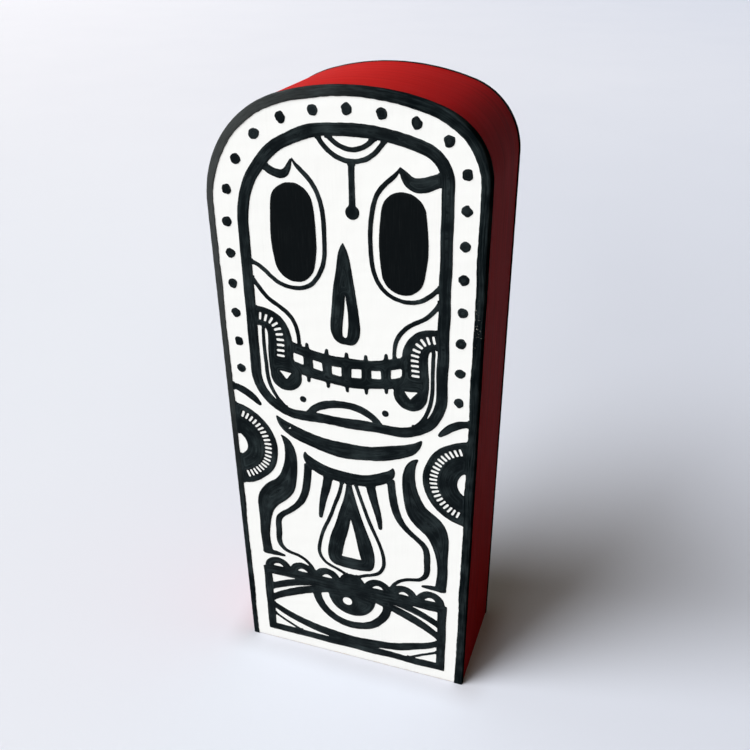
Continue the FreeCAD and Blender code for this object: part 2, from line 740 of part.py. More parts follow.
def fold_start(side):
    """Top of a robe fold, under the tip of the yoke."""
    beyond = number("rosette_gap") + number("fold_gap") + BAND_AT_YOKE + FOLD_PEN / 2
    return from_rosette(side, [(-7, beyond, FOLD_PEN)])[0]


def make_yoke():
    """The bowl under the collar, from which the folds, the tassels and the drop hang."""
    reach = fold_start(RIGHT)[0]
    half = [(-1.05, 102.6, 0.9), (-0.92, 98.6, 4.4), (-0.52, 95.4, 5.0), (0.0, 94.4, 5.6)]
    path = [(share * reach, z * upward.number, pen) for share, z, pen in both_ways(half)]
    return finish("yoke", stroke("yoke", Brush(path)))


def hang(side, start, points):
    """Points below a start, given by distance from the middle and share of the way up from the foot."""
    low = foot_level.number
    return [(side * x * across.number, low + share * (start[1] - low), pen) for x, share, pen in points]


def make_robe(side, yoke, scallops):
    """The broad band that swings round the rosette, and the thinner fold inside it."""
    name = side_name(side)
    gap, fold_gap = number("rosette_gap"), number("fold_gap")
    tip_pen = 0.8
    tip = math.degrees(math.asin(number("band_tip_rise") / (number("rosette_radius") + gap + tip_pen / 2)))
    swings = ((tip, tip_pen), (3, 4.4), (-12, 5.4), (-28, 7.2), (-43, 9.4), (-57, 9.8))
    around = from_rosette(side, [(angle, gap + pen / 2, pen) for angle, pen in swings])
    foot = hang(side, around[-1], ((36.4, 0.73, 6.6), (37.4, 0.46, 4.5), (37.5, 0.19, 4.2),
                                   (37.2, 0.03, 4.6)))
    toe = [(side * x * across.number, foot_level.number - drop, pen) for x, drop, pen in
           ((38.4, 0.0, 2.4), (34.0, 0.0, 2.4), (29.8, 0.3, 1.2))]
    finish(f"{name}_robe_band", stroke(f"{name}_robe_band", Brush(around + foot), Brush(toe)))
    folds = ((-17, 5.7, FOLD_PEN), (-28, 7.2, FOLD_PEN), (-41, 9.2, 2.8), (-52, 9.8, 2.4))
    inside = [fold_start(side)] + from_rosette(side, [
        (angle, gap + band + fold_gap + pen / 2, pen) for angle, band, pen in folds])
    hem = hang(side, inside[-1], ((30.2, 0.82, 2.6), (31.4, 0.49, 2.6), (31.0, 0.24, 2.2),
                                  (28.6, 0.12, 1.8), (23.4, 0.06, 1.5)))
    hem += [(side * x * across.number, panel_top.number + rise, pen) for x, rise, pen in
            ((19.4, 7.2, 1.5), (16.5, 1.6, 1.8))]
    fold = Brush(inside + hem, flat_start=True)
    trimmed(f"{name}_robe_fold", stroke(f"{name}_robe_fold", fold), yoke, scallops)


def make_tassel(side, yoke):
    name = f"{side_name(side)}_tassel"
    path = low_part([(side * x, z, pen) for x, z, pen in
                     ((8.4, 94.0, 3.8), (9.6, 88.0, 3.5), (11.4, 80.0, 2.7), (12.4, 73.6, 1.5))])
    trimmed(name, stroke(name, Brush(path, flat_start=True)), yoke)


def make_drop(yoke, scallops):
    """A drop with a white triangle in it, and a thin line that follows it all round."""
    middle = 0.0
    half = [(0.9, 93.0), (3.2, 82.0), (6.6, 71.0), (9.4, 61.5), (10.0, 55.6), (8.4, 51.2), (4.4, 50.0)]
    right = [(x * across.number, z * upward.number) for x, z in half]
    left = [(-x, z) for x, z in reversed(right)]
    around = spline(right + [(middle, 49.8 * upward.number)] + left)
    triangle = [(x * across.number, z * upward.number) for x, z in
                ((0.3, 75.0), (-4.2, 55.6), (4.2, 55.4))]
    body = new_body("centre_drop_paint")
    paint(body, "drop_shape", [[around, line(*left[-1], *right[0])]])
    scratch(body, "drop_triangle", [polygon(triangle)])
    trimmed("centre_drop", body, yoke)
    pen = number("fine_pen") - 0.1
    half = [(-2.5, 93.4, pen), (-4.9, 84.6, pen), (-8.2, 75.0, pen), (-11.4, 67.0, pen),
            (-13.5, 59.4, pen), (-13.5, 54.0, pen), (-11.0, 50.2, pen), (-5.6, 47.8, pen),
            (0.0, 45.6, pen)]
    thread = Brush(low_part(both_ways(half)), flat_start=True, flat_end=True)
    trimmed("drop_line", stroke("drop_line", thread), yoke, scallops)


# ---------------------------------------------------------------- eye panel
def make_frame():
    body = new_body("panel_frame")
    sketch = new_sketch(body, "panel_frame_bars", FRONT, face_level)
    pen = size["panel_pen"]
    for inset in (ZERO, pen):
        right = size["panel_half_width"] * across - inset
        low = size["panel_floor"] * upward + inset
        high = panel_top - inset
        rectangle(sketch, right, low, high)
    pad(body, sketch, size["ink_film"])
    return finish("panel_frame", body)


def rectangle(sketch, right, low, high):
    """A rectangle that is as wide to the left of the middle as to the right."""
    x, z1, z2 = right.number, low.number, high.number
    edges = sketch.addGeometry(polygon([(-x, z1), (x, z1), (x, z2), (-x, z2)]))
    for first, second in zip(edges, edges[1:] + edges[:1]):
        sketch.addConstraint(Sketcher.Constraint("Coincident", first, 2, second, 1))
    sketch.addConstraint([Sketcher.Constraint(kind, edge) for kind, edge in
                          zip(("Horizontal", "Vertical", "Horizontal", "Vertical"), edges)])
    bind(sketch, "DistanceX", edges[1], 1, right)
    bind(sketch, "DistanceY", edges[1], 1, low)
    bind(sketch, "DistanceX", edges[3], 1, -right)
    bind(sketch, "DistanceY", edges[3], 1, high)


def make_scallops():
    """A row of half discs on the frame, most of them with a small white sliver in them."""
    base, pitch, radius = panel_top.number, scallop_pitch.number, scallop_radius.number
    reach = int(number("scallop_count")) // 2
    meet = math.asin(math.sqrt(radius ** 2 - (pitch / 2) ** 2) / radius)
    outline = []
    for step in range(-reach, reach + 1):
        start = 0.0 if step == reach else meet
        end = math.pi if step == -reach else math.pi - meet
        outline.append(arc(step * pitch, base, radius, start, end))
    edge = reach * pitch + radius
    outline.append(line(-edge, base, edge, base))
    body = new_body("panel_scallops")
    paint(body, "scallop_row", [outline])
    slivers = [Brush([(step * pitch - 2.3, base + 1.2, TIP), (step * pitch, base + 2.0, 1.5),
                      (step * pitch + 2.3, base + 1.2, TIP)]).outline()
               for step in range(-reach, reach + 1) if step]
    scratch(body, "scallop_slivers", slivers)
    return finish("panel_scallops", body)


def make_panel_eye(frame):
    """The eye in the panel: two lids, a ring, a pupil and a thin line in each lower corner."""
    inner = [(-38.2, 22.4, 2.6), (-33.0, 26.4, 3.4), (-24.0, 31.2, 3.8), (-12.0, 35.4, 3.4),
             (0.0, 37.0, 3.0)]
    outer = [(-38.2, 29.4, 3.2), (-28.0, 34.4, 3.4), (-14.0, 38.0, 3.2), (0.0, 38.9, 2.8)]
    lids = stroke("upper_lid", *[Brush(low_part(both_ways(half))) for half in (inner, outer)])
    upper = trimmed("upper_lid", lids, frame)
    half = [(-38.2, 21.0, 2.6), (-31.0, 16.8, 3.4), (-18.0, 12.4, 4.0), (0.0, 10.2, 4.4)]
    lower = trimmed("lower_lid", stroke("lower_lid", Brush(low_part(both_ways(half)))), frame, upper)
    for side in (LEFT, RIGHT):
        name = f"{side_name(side)}_corner_line"
        path = low_part([(side * x, z, 1.2) for x, z in
                         ((38.0, 16.4), (34.0, 13.4), (29.0, 10.6), (23.6, 8.0), (19.0, 6.6))])
        trimmed(name, stroke(name, Brush(path)), frame, lower)
    centre = (-0.5 * across.number, 34.5 * upward.number)
    ring = [(centre[0] + number("iris_radius") * math.sin(turn),
             centre[1] - number("iris_radius") * math.cos(turn), number("iris_pen"))
            for turn in [math.radians(angle) for angle in range(-88, 89, 22)]]
    trimmed("iris_ring", stroke("iris_ring", Brush(ring, flat_start=True, flat_end=True)), upper)
    radius = number("pupil_radius")
    lean = math.radians(8.0)
    ends = [(centre[0] + side * radius * math.cos(lean), centre[1] + radius * math.sin(lean))
            for side in (LEFT, RIGHT)]
    body = new_body("pupil_paint")
    paint(body, "pupil_disc", [[arc(*centre, radius, math.pi - lean, 2 * math.pi + lean),
                                line(*ends[1], *ends[0])]])
    sketch = new_sketch(body, "pupil_glint", FRONT, ink_level)
    glint = sketch.addGeometry([circle(centre[0] - 1.8, centre[1] - 2.8, number("glint_radius"))])
    tie_circles(sketch, glint, size["glint_radius"])
    pocket(body, sketch, size["ink_film"])
    trimmed("pupil", body, upper)


# ---------------------------------------------------------------- put together, check and write
def check_document():
    """Stop if any object failed, or if a sub-part has no valid solid."""
    doc.recompute()
    for item in doc.Objects:
        if "Invalid" in item.State or "Error" in item.State:
            raise RuntimeError(f"{item.Name} failed: {item.State}")
    for name, item in nodes.items():
        if item.Shape.isNull() or not item.Shape.isValid() or not item.Shape.Solids:
            raise RuntimeError(f"{name} has no valid solid")


def write_parts():
    os.makedirs("parts", exist_ok=True)
    for name, item in nodes.items():
        item.Shape.exportStep(f"parts/{name}.step")
        print(f"{name}: {len(item.Shape.Solids)} solids, {item.Shape.Volume:.2f} mm3")


def main():
    make_block()
    make_edge_coat()
    make_ground("white_front_ground", FRONT)
    make_ground("white_back_ground", BACK)
    rim = make_rim_band("front_rim_band", FRONT)
    make_rim_band("back_rim_band", BACK)
    hood = make_hood()
    make_dots()
    make_forehead(hood)
    cheeks = {}
    for side in (LEFT, RIGHT):
        make_socket(side)
        make_eye_surround(side, hood)
        cheeks[side] = make_cheek(side, hood)
    make_nose()
    teeth = make_teeth(cheeks.values())
    make_chin(hood)
    make_collar()
    yoke = make_yoke()
    frame = make_frame()
    scallops = make_scallops()
    for side in (LEFT, RIGHT):
        make_side_lines(side, hood, cheeks[side], teeth)
        make_rosette(side)
        make_shoulder_crescent(side, rim)
        make_robe(side, yoke, scallops)
        make_tassel(side, yoke)
    make_drop(yoke, scallops)
    make_panel_eye(frame)
    check_document()
    write_parts()


main()
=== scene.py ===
"""Looks of a painted wooden skull block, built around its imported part.

Lengths inside the classes are millimetres, in the part's own frame, and become metres when a mesh
is written. The front of the block faces -Y, +Z is up, and the block stands on z = 0.
"""

from __future__ import annotations

import logging
import math
from collections.abc import Sequence
from dataclasses import dataclass, field
from enum import Enum

import bpy
import numpy as np
from mathutils import Matrix, Vector
from mathutils.geometry import delaunay_2d_cdt

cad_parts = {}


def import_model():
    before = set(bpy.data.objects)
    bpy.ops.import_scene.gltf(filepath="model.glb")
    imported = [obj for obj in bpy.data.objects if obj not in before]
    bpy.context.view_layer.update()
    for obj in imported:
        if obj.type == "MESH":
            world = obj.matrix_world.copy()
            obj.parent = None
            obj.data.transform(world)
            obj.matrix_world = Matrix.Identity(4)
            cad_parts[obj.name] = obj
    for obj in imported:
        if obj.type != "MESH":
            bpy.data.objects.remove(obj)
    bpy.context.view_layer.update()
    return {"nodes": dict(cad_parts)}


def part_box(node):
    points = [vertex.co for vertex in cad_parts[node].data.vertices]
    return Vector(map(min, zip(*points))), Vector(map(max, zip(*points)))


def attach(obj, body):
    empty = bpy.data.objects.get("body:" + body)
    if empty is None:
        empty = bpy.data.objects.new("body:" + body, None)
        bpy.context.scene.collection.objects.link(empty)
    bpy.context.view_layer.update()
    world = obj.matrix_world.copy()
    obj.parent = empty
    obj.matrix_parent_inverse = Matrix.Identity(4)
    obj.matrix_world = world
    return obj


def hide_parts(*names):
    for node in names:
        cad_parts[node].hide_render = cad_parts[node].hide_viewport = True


MM = 0.001
LOG = logging.getLogger("skull_block")


class Slot(Enum):
    """The record's material slots of the painted pieces."""

    RED = "red_coat"
    WHITE = "white_ground"
    BLACK = "black_paint"


class Face(Enum):
    """The two flat faces of the block, with the sign of y on each."""

    FRONT = -1.0
    BACK = 1.0


# ---------------------------------------------------------------------------------------------
# Shader expressions
# ---------------------------------------------------------------------------------------------


class Number:
    """A number that changes over a surface: a node's socket that understands arithmetic."""

    def __init__(self, graph: Graph, socket: bpy.types.NodeSocket) -> None:
        """Keeps the graph, which gets the Math nodes, and the socket that holds the number."""
        self.graph = graph
        self.socket = socket

    def _math(self, operation: str, first: object, second: object) -> Number:
        """Adds a Math node.

        Args:
            operation: the Math node's operation.
            first: its first value, a Number or a plain number.
            second: its second value, a Number or a plain number.

        Returns:
            The node's result.
        """
        node = self.graph.add("ShaderNodeMath", {"operation": operation}, {0: first, 1: second})
        return Number(self.graph, node.outputs[0])

    def __add__(self, other: object) -> Number:
        """Gives self + other."""
        return self._math("ADD", self, other)

    def __radd__(self, other: object) -> Number:
        """Gives other + self."""
        return self._math("ADD", other, self)

    def __sub__(self, other: object) -> Number:
        """Gives self - other."""
        return self._math("SUBTRACT", self, other)

    def __rsub__(self, other: object) -> Number:
        """Gives other - self."""
        return self._math("SUBTRACT", other, self)

    def __mul__(self, other: object) -> Number:
        """Gives self * other."""
        return self._math("MULTIPLY", self, other)

    def __rmul__(self, other: object) -> Number:
        """Gives other * self."""
        return self._math("MULTIPLY", other, self)

    def ramp(self, low: float, high: float) -> Number:
        """Smooth step.

        Args:
            low: the value at which the step starts, as 0.
            high: the value at which the step is done, as 1.

        Returns:
            A number from 0 to 1.
        """
        settings = {"interpolation_type": "SMOOTHSTEP"}
        inputs = {"Value": self, "From Min": low, "From Max": high}
        return Number(self.graph, self.graph.add("ShaderNodeMapRange", settings, inputs).outputs[0])

    def sine(self) -> Number:
        """Gives the sine of self, in radians."""
        return self._math("SINE", self, 0.0)


class Graph:
    """The node tree of one material, or of the sky."""

    def __init__(self, name: str, tree: bpy.types.NodeTree | None = None) -> None:
        """Empties the given tree, or makes a material with that name and takes its tree."""
        self.material = None
        if tree is None:
            self.material = bpy.data.materials.new(name)
            self.material.use_nodes = True
            tree = self.material.node_tree
        self.tree = tree
        self.tree.nodes.clear()

    def add(self, kind: str, settings: dict[str, object] | None = None,
            inputs: dict[str | int, object] | None = None) -> bpy.types.Node:
        """Adds one node.

        Args:
            kind: the node's type.
            settings: the node's own settings, which are set first.
            inputs: value or link of each socket, by name or number.

        Returns:
            The node.
        """
        node = self.tree.nodes.new(kind)
        for key, value in (settings or {}).items():
            setattr(node, key, value)
        for key, value in (inputs or {}).items():
            if isinstance(value, Number):
                value = value.socket
            if isinstance(value, bpy.types.NodeSocket):
                self.tree.links.new(value, node.inputs[key])
            else:
                node.inputs[key].default_value = value
        return node

    def place(self, stretch: Sequence[float]) -> bpy.types.NodeSocket:
        """Object coordinates.

        Args:
            stretch: factor on x, y and z, with the coordinates in millimetres.

        Returns:
            The stretched vector.
        """
        here = self.add("ShaderNodeTexCoord").outputs["Object"]
        inputs = {0: here, 1: tuple(value / MM for value in stretch)}
        return self.add("ShaderNodeVectorMath", {"operation": "MULTIPLY"}, inputs).outputs[0]

    def axes(self) -> tuple[Number, Number, Number]:
        """Gives x, y and z of the surface, in millimetres."""
        split = self.add("ShaderNodeSeparateXYZ", None, {0: self.place((1.0, 1.0, 1.0))})
        return tuple(Number(self, socket) for socket in split.outputs)

    def vector(self, x: object, y: object, z: object) -> bpy.types.NodeSocket:
        """Gives the vector of three numbers."""
        return self.add("ShaderNodeCombineXYZ", None, {0: x, 1: y, 2: z}).outputs[0]

    def attribute(self, name: str) -> Number:
        """Gives the number that the mesh keeps under that name at each point."""
        return Number(self, self.add("ShaderNodeAttribute", {"attribute_name": name}).outputs["Fac"])

    def spots(self, scale: float, detail: float = 2.0) -> Number:
        """Gives noise on the object's own place, with that many waves per millimetre."""
        return self.noise(self.place((1.0, 1.0, 1.0)), scale, detail)

    def noise(self, where: bpy.types.NodeSocket, scale: float, detail: float = 2.0,
              roughness: float = 0.5) -> Number:
        """Smooth noise.

        Args:
            where: the vector that it reads.
            scale: its grain, in waves per unit of the vector.
            detail: octaves added.
            roughness: share of each next octave.

        Returns:
            A number about 0.5, within 0 and 1.
        """
        inputs = {"Vector": where, "Scale": scale, "Detail": detail, "Roughness": roughness}
        return Number(self, self.add("ShaderNodeTexNoise", None, inputs).outputs[0])

    def blend(self, share: object, first: object, second: object) -> bpy.types.NodeSocket:
        """Mixes two colours.

        Args:
            share: 0 for the first colour, 1 for the second.
            first: a colour, or the socket of one.
            second: a colour, or the socket of one.

        Returns:
            The mixed colour.
        """
        inputs = {0: share, 6: first, 7: second}
        return self.add("ShaderNodeMix", {"data_type": "RGBA"}, inputs).outputs[2]

    def seen(self) -> Number:
        """Gives 1 for rays from the camera, a mirror or glass, and 0 for rays of bounced light."""
        rays = self.add("ShaderNodeLightPath").outputs
        camera, glossy, passed = (Number(self, rays[f"Is {kind} Ray"])
                                  for kind in ("Camera", "Glossy", "Transmission"))
        return camera + glossy + passed

    def relief(self, height: Number, depth: float, strength: float = 1.0) -> bpy.types.NodeSocket:
        """Bump.

        Args:
            height: the relief, from 0 to 1.
            depth: millimetres from 0 to 1.
            strength: share of the effect.

        Returns:
            The bent normal.
        """
        inputs = {"Strength": strength, "Distance": depth * MM, "Height": height}
        return self.add("ShaderNodeBump", None, inputs).outputs[0]

    def close(self, colour: object, roughness: object, normal: bpy.types.NodeSocket | None = None,
              specular: float = 0.5) -> bpy.types.Material:
        """Ends the tree in a Principled shader.

        Args:
            colour: base colour, or its socket.
            roughness: roughness, or its Number.
            normal: bent normal, if there is one.
            specular: specular level, the same all over.

        Returns:
            The finished material.
        """
        inputs = {"Base Color": colour, "Roughness": roughness, "Specular IOR Level": specular}
        if normal is not None:
            inputs["Normal"] = normal
        shader = self.add("ShaderNodeBsdfPrincipled", None, inputs)
        self.add("ShaderNodeOutputMaterial", None, {"Surface": shader.outputs[0]})
        return self.material


# ---------------------------------------------------------------------------------------------
# Finishes
# ---------------------------------------------------------------------------------------------

Colour = tuple[float, float, float, float]


@dataclass(frozen=True)
class InkFinish:
    """Black paint laid with a brush: its streaks run beside the nearest edge of the stroke."""

    name: str = "brushed_black"
    deep: Colour = (0.0026, 0.0046, 0.0058, 1.0)
    thin: Colour = (0.0270, 0.0375, 0.0410, 1.0)
    streak_per_mm: float = 2.2
    along_per_mm: float = 0.10
    cloud_per_mm: float = 0.16
    grain_per_mm: float = 4.5
    covers: tuple[float, float] = (0.92, 1.62)
    roughness: float = 0.40
    streak_depth: float = 0.03
    specular: float = 0.03
    bare: Colour = (0.42, 0.42, 0.38, 1.0)
    rubbed: tuple[float, float, float] | None = None
    chips_per_mm: float = 2.1
    chip_gain: float = 0.17
    chip_edge: tuple[float, float] = (0.775, 0.825)
    narrow: float = 2.2
    # The pale colour of a painted sheen, where the light falls on the upper left of the rim.
    painted_sheen_colour: Colour = (0.072, 0.078, 0.078, 1.0)
    sheen_share: float = 0.0
    sheen_across: tuple[float, float] = (-48.0, 24.0)
    sheen_rise: tuple[float, float] = (40.0, 215.0)

    def build(self) -> bpy.types.Material:
        """Gives the material: deep where the brush left much paint, thin in its streaks.

        Where the sheen share isn't 0, a painted sheen pales the paint towards the upper left, where
        the light falls, over the two stretches of x and z that are named; where rubbed is given, as x,
        z and spread, chips show what lies under it.

        Returns:
            The material.
        """
        graph = Graph(self.name)
        x, _, z = graph.axes()
        across = graph.attribute("edge_distance") * self.streak_per_mm
        lay = graph.vector(across, x * self.along_per_mm, z * self.along_per_mm)
        streak = graph.noise(lay, 1.0, 3.0)
        fine = graph.noise(graph.vector(across * 3.1, x * 0.3, z * 0.3), 1.0, 1.0)
        cloud = graph.spots(self.cloud_per_mm)
        grain = graph.spots(self.grain_per_mm)
        cover = (streak * 0.9 + fine * 0.35 + cloud * 0.8 + grain * 0.15).ramp(*self.covers)
        normal = graph.relief(streak * 0.6 + fine * 0.25 + grain * 0.15, self.streak_depth)
        colour = graph.blend(cover, self.deep, self.thin)
        # Painted sheen: the paint pales towards the upper left, where the light falls.
        if self.sheen_share:
            left = (1.0 - x.ramp(*self.sheen_across)) * z.ramp(*self.sheen_rise)
            colour = graph.blend(left * (0.2 + fine * 1.1) * self.sheen_share, colour, self.painted_sheen_colour)
        if self.rubbed is not None:
            colour = graph.blend(self._chips(graph, x, z), colour, self.bare)
        return graph.close(colour, self.roughness + cover * 0.16, normal, self.specular)

    def _chips(self, graph: Graph, x: Number, z: Number) -> Number:
        """Gives 1 on small chips inside the rubbed spot.

        Args:
            graph: the material's graph.
            x: sideways place.
            z: height.

        Returns:
            A number from 0 to 1: noise over a limit that falls towards the middle of the spot,
            which is narrow times as tall as it is wide.
        """
        middle, height, spread = self.rubbed
        side, rise = (x - middle) * (self.narrow / spread), (z - height) * (1.0 / spread)
        near = 1.0 - (side * side + rise * rise).ramp(0.0, 1.0)
        chips = graph.noise(graph.place((1.0, 1.0, 0.8)), self.chips_per_mm, 3.0, 0.7)
        return (chips + near * self.chip_gain).ramp(*self.chip_edge) * near.ramp(0.02, 0.25)


@dataclass(frozen=True)
class HollowFinish:
    """The blackest paint, in the eye sockets, with fine upright streaks."""

    name: str = "hollow_black"
    deep: Colour = (0.0008, 0.0018, 0.0024, 1.0)
    thin: Colour = (0.0062, 0.0080, 0.0088, 1.0)
    streak_per_mm: float = 2.6
    rim: float = 0.7

    def build(self) -> bpy.types.Material:
        """Gives the material."""
        graph = Graph(self.name)
        streak = graph.noise(graph.place((self.streak_per_mm, 1.0, 0.12)), 1.0, 3.0)
        grain = graph.spots(5.0)
        edge = 1.0 - graph.attribute("edge_distance").ramp(0.0, self.rim)
        cover = (streak + edge * 0.25 + grain * 0.1).ramp(0.5, 0.95)
        normal = graph.relief(streak * 0.7 + grain * 0.3, 0.04)
        return graph.close(graph.blend(cover, self.deep, self.thin), 0.45 + streak * 0.2, normal, 0.04)


@dataclass(frozen=True)
class GroundFinish:
    """White ground on the two faces: nearly even, with faint upright brush lines."""

    name: str = "white_ground"
    white: Colour = (0.858, 0.874, 0.877, 1.0)
    dull: Colour = (0.812, 0.828, 0.832, 1.0)

    def build(self) -> bpy.types.Material:
        """Gives the material."""
        graph = Graph(self.name)
        brush = graph.noise(graph.place((1.6, 1.6, 0.05)), 1.0, 3.0)
        cloud = graph.spots(0.05, 3.0)
        grain = graph.spots(3.0, 3.0)
        worn = (brush * 0.6 + cloud * 0.6 + grain * 0.2).ramp(0.66, 1.15)
        normal = graph.relief(brush * 0.7 + grain * 0.3, 0.03)
        return graph.close(graph.blend(worn, self.white, self.dull), 0.5 + worn * 0.15, normal, 0.18)


@dataclass(frozen=True)
class RedFinish:
    """Red coat with brush lines along the edge, and painted shade: darker down the right side and over
    the right shoulder, where less light falls, and lit over the crown.
    """

    name: str = "red_coat"
    bright: Colour = (0.52, 0.0095, 0.0065, 1.0)
    dark: Colour = (0.40, 0.0045, 0.0035, 1.0)
    # deep and the darkest colour are painted shade, for the right side and the right shoulder.
    deep: Colour = (0.310, 0.0022, 0.0036, 1.0)
    painted_shade_darkest: Colour = (0.125, 0.0012, 0.0020, 1.0)
    streak_per_mm: float = 0.55
    painted_shade_span: tuple[float, float] = (225.0, 285.0)

    def build(self) -> bpy.types.Material:
        """Gives the material."""
        graph = Graph(self.name)
        along, across = graph.attribute("along"), graph.attribute("across")
        lay = graph.vector(across * self.streak_per_mm, along * 0.012, 0.0)
        streak = graph.noise(lay, 1.0, 4.0, 0.6)
        fine = graph.noise(graph.vector(across * 2.4, along * 0.05, 3.0), 1.0, 2.0)
        grain = graph.spots(3.5)
        tone = (streak * 0.8 + fine * 0.3 + grain * 0.1).ramp(0.35, 0.88)
        # light is the lit red with its brush streaks.
        light = graph.blend(tone, self.bright, self.dark)
        # Painted shade: along the path from the right foot, the red keeps the shaded colours up the
        # right side and over the right shoulder, and turns to the lit ones towards the crown.
        over = (along + streak * 14.0).ramp(*self.painted_shade_span)
        colour = graph.blend(over, graph.blend(tone, self.deep, self.painted_shade_darkest), light)
        normal = graph.relief(streak * 0.4 + fine * 0.4 + grain * 0.2, 0.05)
        return graph.close(colour, 0.55 + fine * 0.2, normal, 0.018)


@dataclass(frozen=True)
class WoodFinish:
    """Bare end grain on the underside: growth rings about a heart beyond one edge."""

    name: str = "bare_wood"
    early: Colour = (0.60, 0.42, 0.235, 1.0)
    late: Colour = (0.37, 0.215, 0.10, 1.0)
    heart: tuple[float, float] = (-18.0, 46.0)
    ring_pitch: float = 2.6

    def build(self) -> bpy.types.Material:
        """Gives the material: rings are the sine of the distance to the heart, bent by noise."""
        graph = Graph(self.name)
        x, y, _ = graph.axes()
        bend = graph.noise(graph.place((1.0, 1.0, 0.04)), 0.06, 2.0)
        offset = graph.vector(x - self.heart[0], y - self.heart[1], 0.0)
        length = graph.add("ShaderNodeVectorMath", {"operation": "LENGTH"}, {0: offset})
        distance = Number(graph, length.outputs["Value"])
        turns = (distance + bend * 7.0) * (2.0 * math.pi / self.ring_pitch)
        pores = graph.noise(graph.place((1.0, 1.0, 0.06)), 4.0, 3.0)
        ring = (turns.sine() * 0.5 + pores * 0.8).ramp(0.1, 1.2)
        normal = graph.relief(pores * 0.7 + ring * 0.3, 0.06)
        return graph.close(graph.blend(ring, self.early, self.late), 0.62 + pores * 0.2, normal, 0.3)


@dataclass(frozen=True)
class FloorFinish:
    """Pale card under and behind the block, with painted light: its colour is brighter on the left,
    where a window's light falls, and darker to the right.
    """

    name: str = "pale_card"
    left_near: Colour = (0.795, 0.836, 0.920, 1.0)
    left_far: Colour = (0.912, 0.925, 0.990, 1.0)
    right: Colour = (0.665, 0.705, 0.806, 1.0)
    bounce: Colour = (0.085, 0.08, 0.08, 1.0)
    painted_foot_shadow: Colour = (0.44, 0.425, 0.455, 1.0)
    foot_shadow_share: float = 0.42
    foot_shadow_x: tuple[float, float] = (46.0, 62.0)
    foot_shadow_y: tuple[float, float] = (21.0, 37.0)
    near_reach: float = 235.0
    far_reach: float = 1500.0
    depth: float = 1500.0
    heading: tuple[float, float] = (0.94, 0.33)

    def build(self) -> bpy.types.Material:
        """Gives the material.

        The tone runs across the heading, over a reach that grows with depth, and a painted shadow
        darkens it beside the block, where x * x and y * y are both near those of its foot.

        Returns:
            The material.
        """
        graph = Graph(self.name)
        x, y, _ = graph.axes()
        # Painted light: the card's own colour runs from bright on the left to darker on the right.
        across = x * self.heading[0] + y * self.heading[1]
        far = (y * self.heading[0] - x * self.heading[1]).ramp(0.0, self.depth)
        near_slope = across.ramp(-self.near_reach, self.near_reach)
        slope = near_slope + (across.ramp(-self.far_reach, self.far_reach) - near_slope) * far
        fibre = graph.spots(1.1, 3.0)
        cloud = graph.spots(0.006)
        left = graph.blend(far, self.left_near, self.left_far)
        tone = graph.blend(slope + (cloud - 0.5) * 0.12, left, self.right)
        # Painted shadow: the card is darkened round the block's foot, where its shade falls.
        sides = [1.0 - (axis * axis).ramp(*(reach ** 2 for reach in stretch))
                 for axis, stretch in ((x, self.foot_shadow_x), (y, self.foot_shadow_y))]
        tone = graph.blend(sides[0] * sides[1] * self.foot_shadow_share, tone, self.painted_foot_shadow)
        shown = graph.blend(graph.seen(), self.bounce, tone)
        return graph.close(shown, 0.7 + fibre * 0.1, graph.relief(fibre, 0.03), 0.1)


# ---------------------------------------------------------------------------------------------
# Outlines
# ---------------------------------------------------------------------------------------------


def node_triangles(node: bpy.types.Object) -> tuple[np.ndarray, np.ndarray]:
    """Reads a CAD node's mesh, with points that fall together counted once.

    Args:
        node: the CAD node's object.

    Returns:
        Points, in millimetres, and triangles as numbers of points.
    """
    mesh = node.data
    raw = np.empty(len(mesh.vertices) * 3, np.float32)
    mesh.vertices.foreach_get("co", raw)
    corners = np.empty(len(mesh.loops), np.int32)
    mesh.loops.foreach_get("vertex_index", corners)
    points = raw.reshape(-1, 3).astype(float) / MM
    _, first, same = np.unique(np.round(points, 3), axis=0, return_index=True, return_inverse=True)
    return points[first], same.reshape(-1)[corners].reshape(-1, 3)


def free_edges(triangles: np.ndarray) -> np.ndarray:
    """Finds the edges that only one triangle uses, each in its triangle's own direction.

    Args:
        triangles: numbers of points.

    Returns:
        Start and end of each free edge.
    """
    start, end = triangles.ravel(), np.roll(triangles, -1, axis=1).ravel()
    count = int(triangles.max()) + 1
    free = ~np.isin(start * count + end, end * count + start)
    return np.column_stack([start[free], end[free]])


def walk_rings(edges: np.ndarray) -> list[np.ndarray]:
    """Puts edges in walking order, ring by ring.

    Each point keeps a jump to the point after it. Jumps are doubled until every point knows the
    lowest number in its ring, and how many steps away it is.

    Args:
        edges: start and end of each edge; each point starts one edge and ends one.

    Returns:
        The numbers of the points of each ring, in order.
    """
    names, local = np.unique(edges, return_inverse=True)
    local = local.reshape(edges.shape)
    count = len(names)
    after = np.empty(count, np.int64)
    after[local[:, 0]] = local[:, 1]
    rounds = int(math.ceil(math.log2(count))) + 1
    own = np.arange(count)
    lowest, jump = own.copy(), after.copy()
    for _ in range(rounds):
        lowest = np.minimum(lowest, lowest[jump])
        jump = jump[jump]
    leads = lowest == own
    steps = np.where(leads, 0, 1)
    jump = np.where(leads, own, after)
    for _ in range(rounds):
        steps = steps + steps[jump]
        jump = jump[jump]
    order = np.lexsort((np.where(leads, -count - 1, -steps), lowest))
    cuts = np.flatnonzero(np.diff(lowest[order])) + 1
    return [names[part] for part in np.split(order, cuts)]


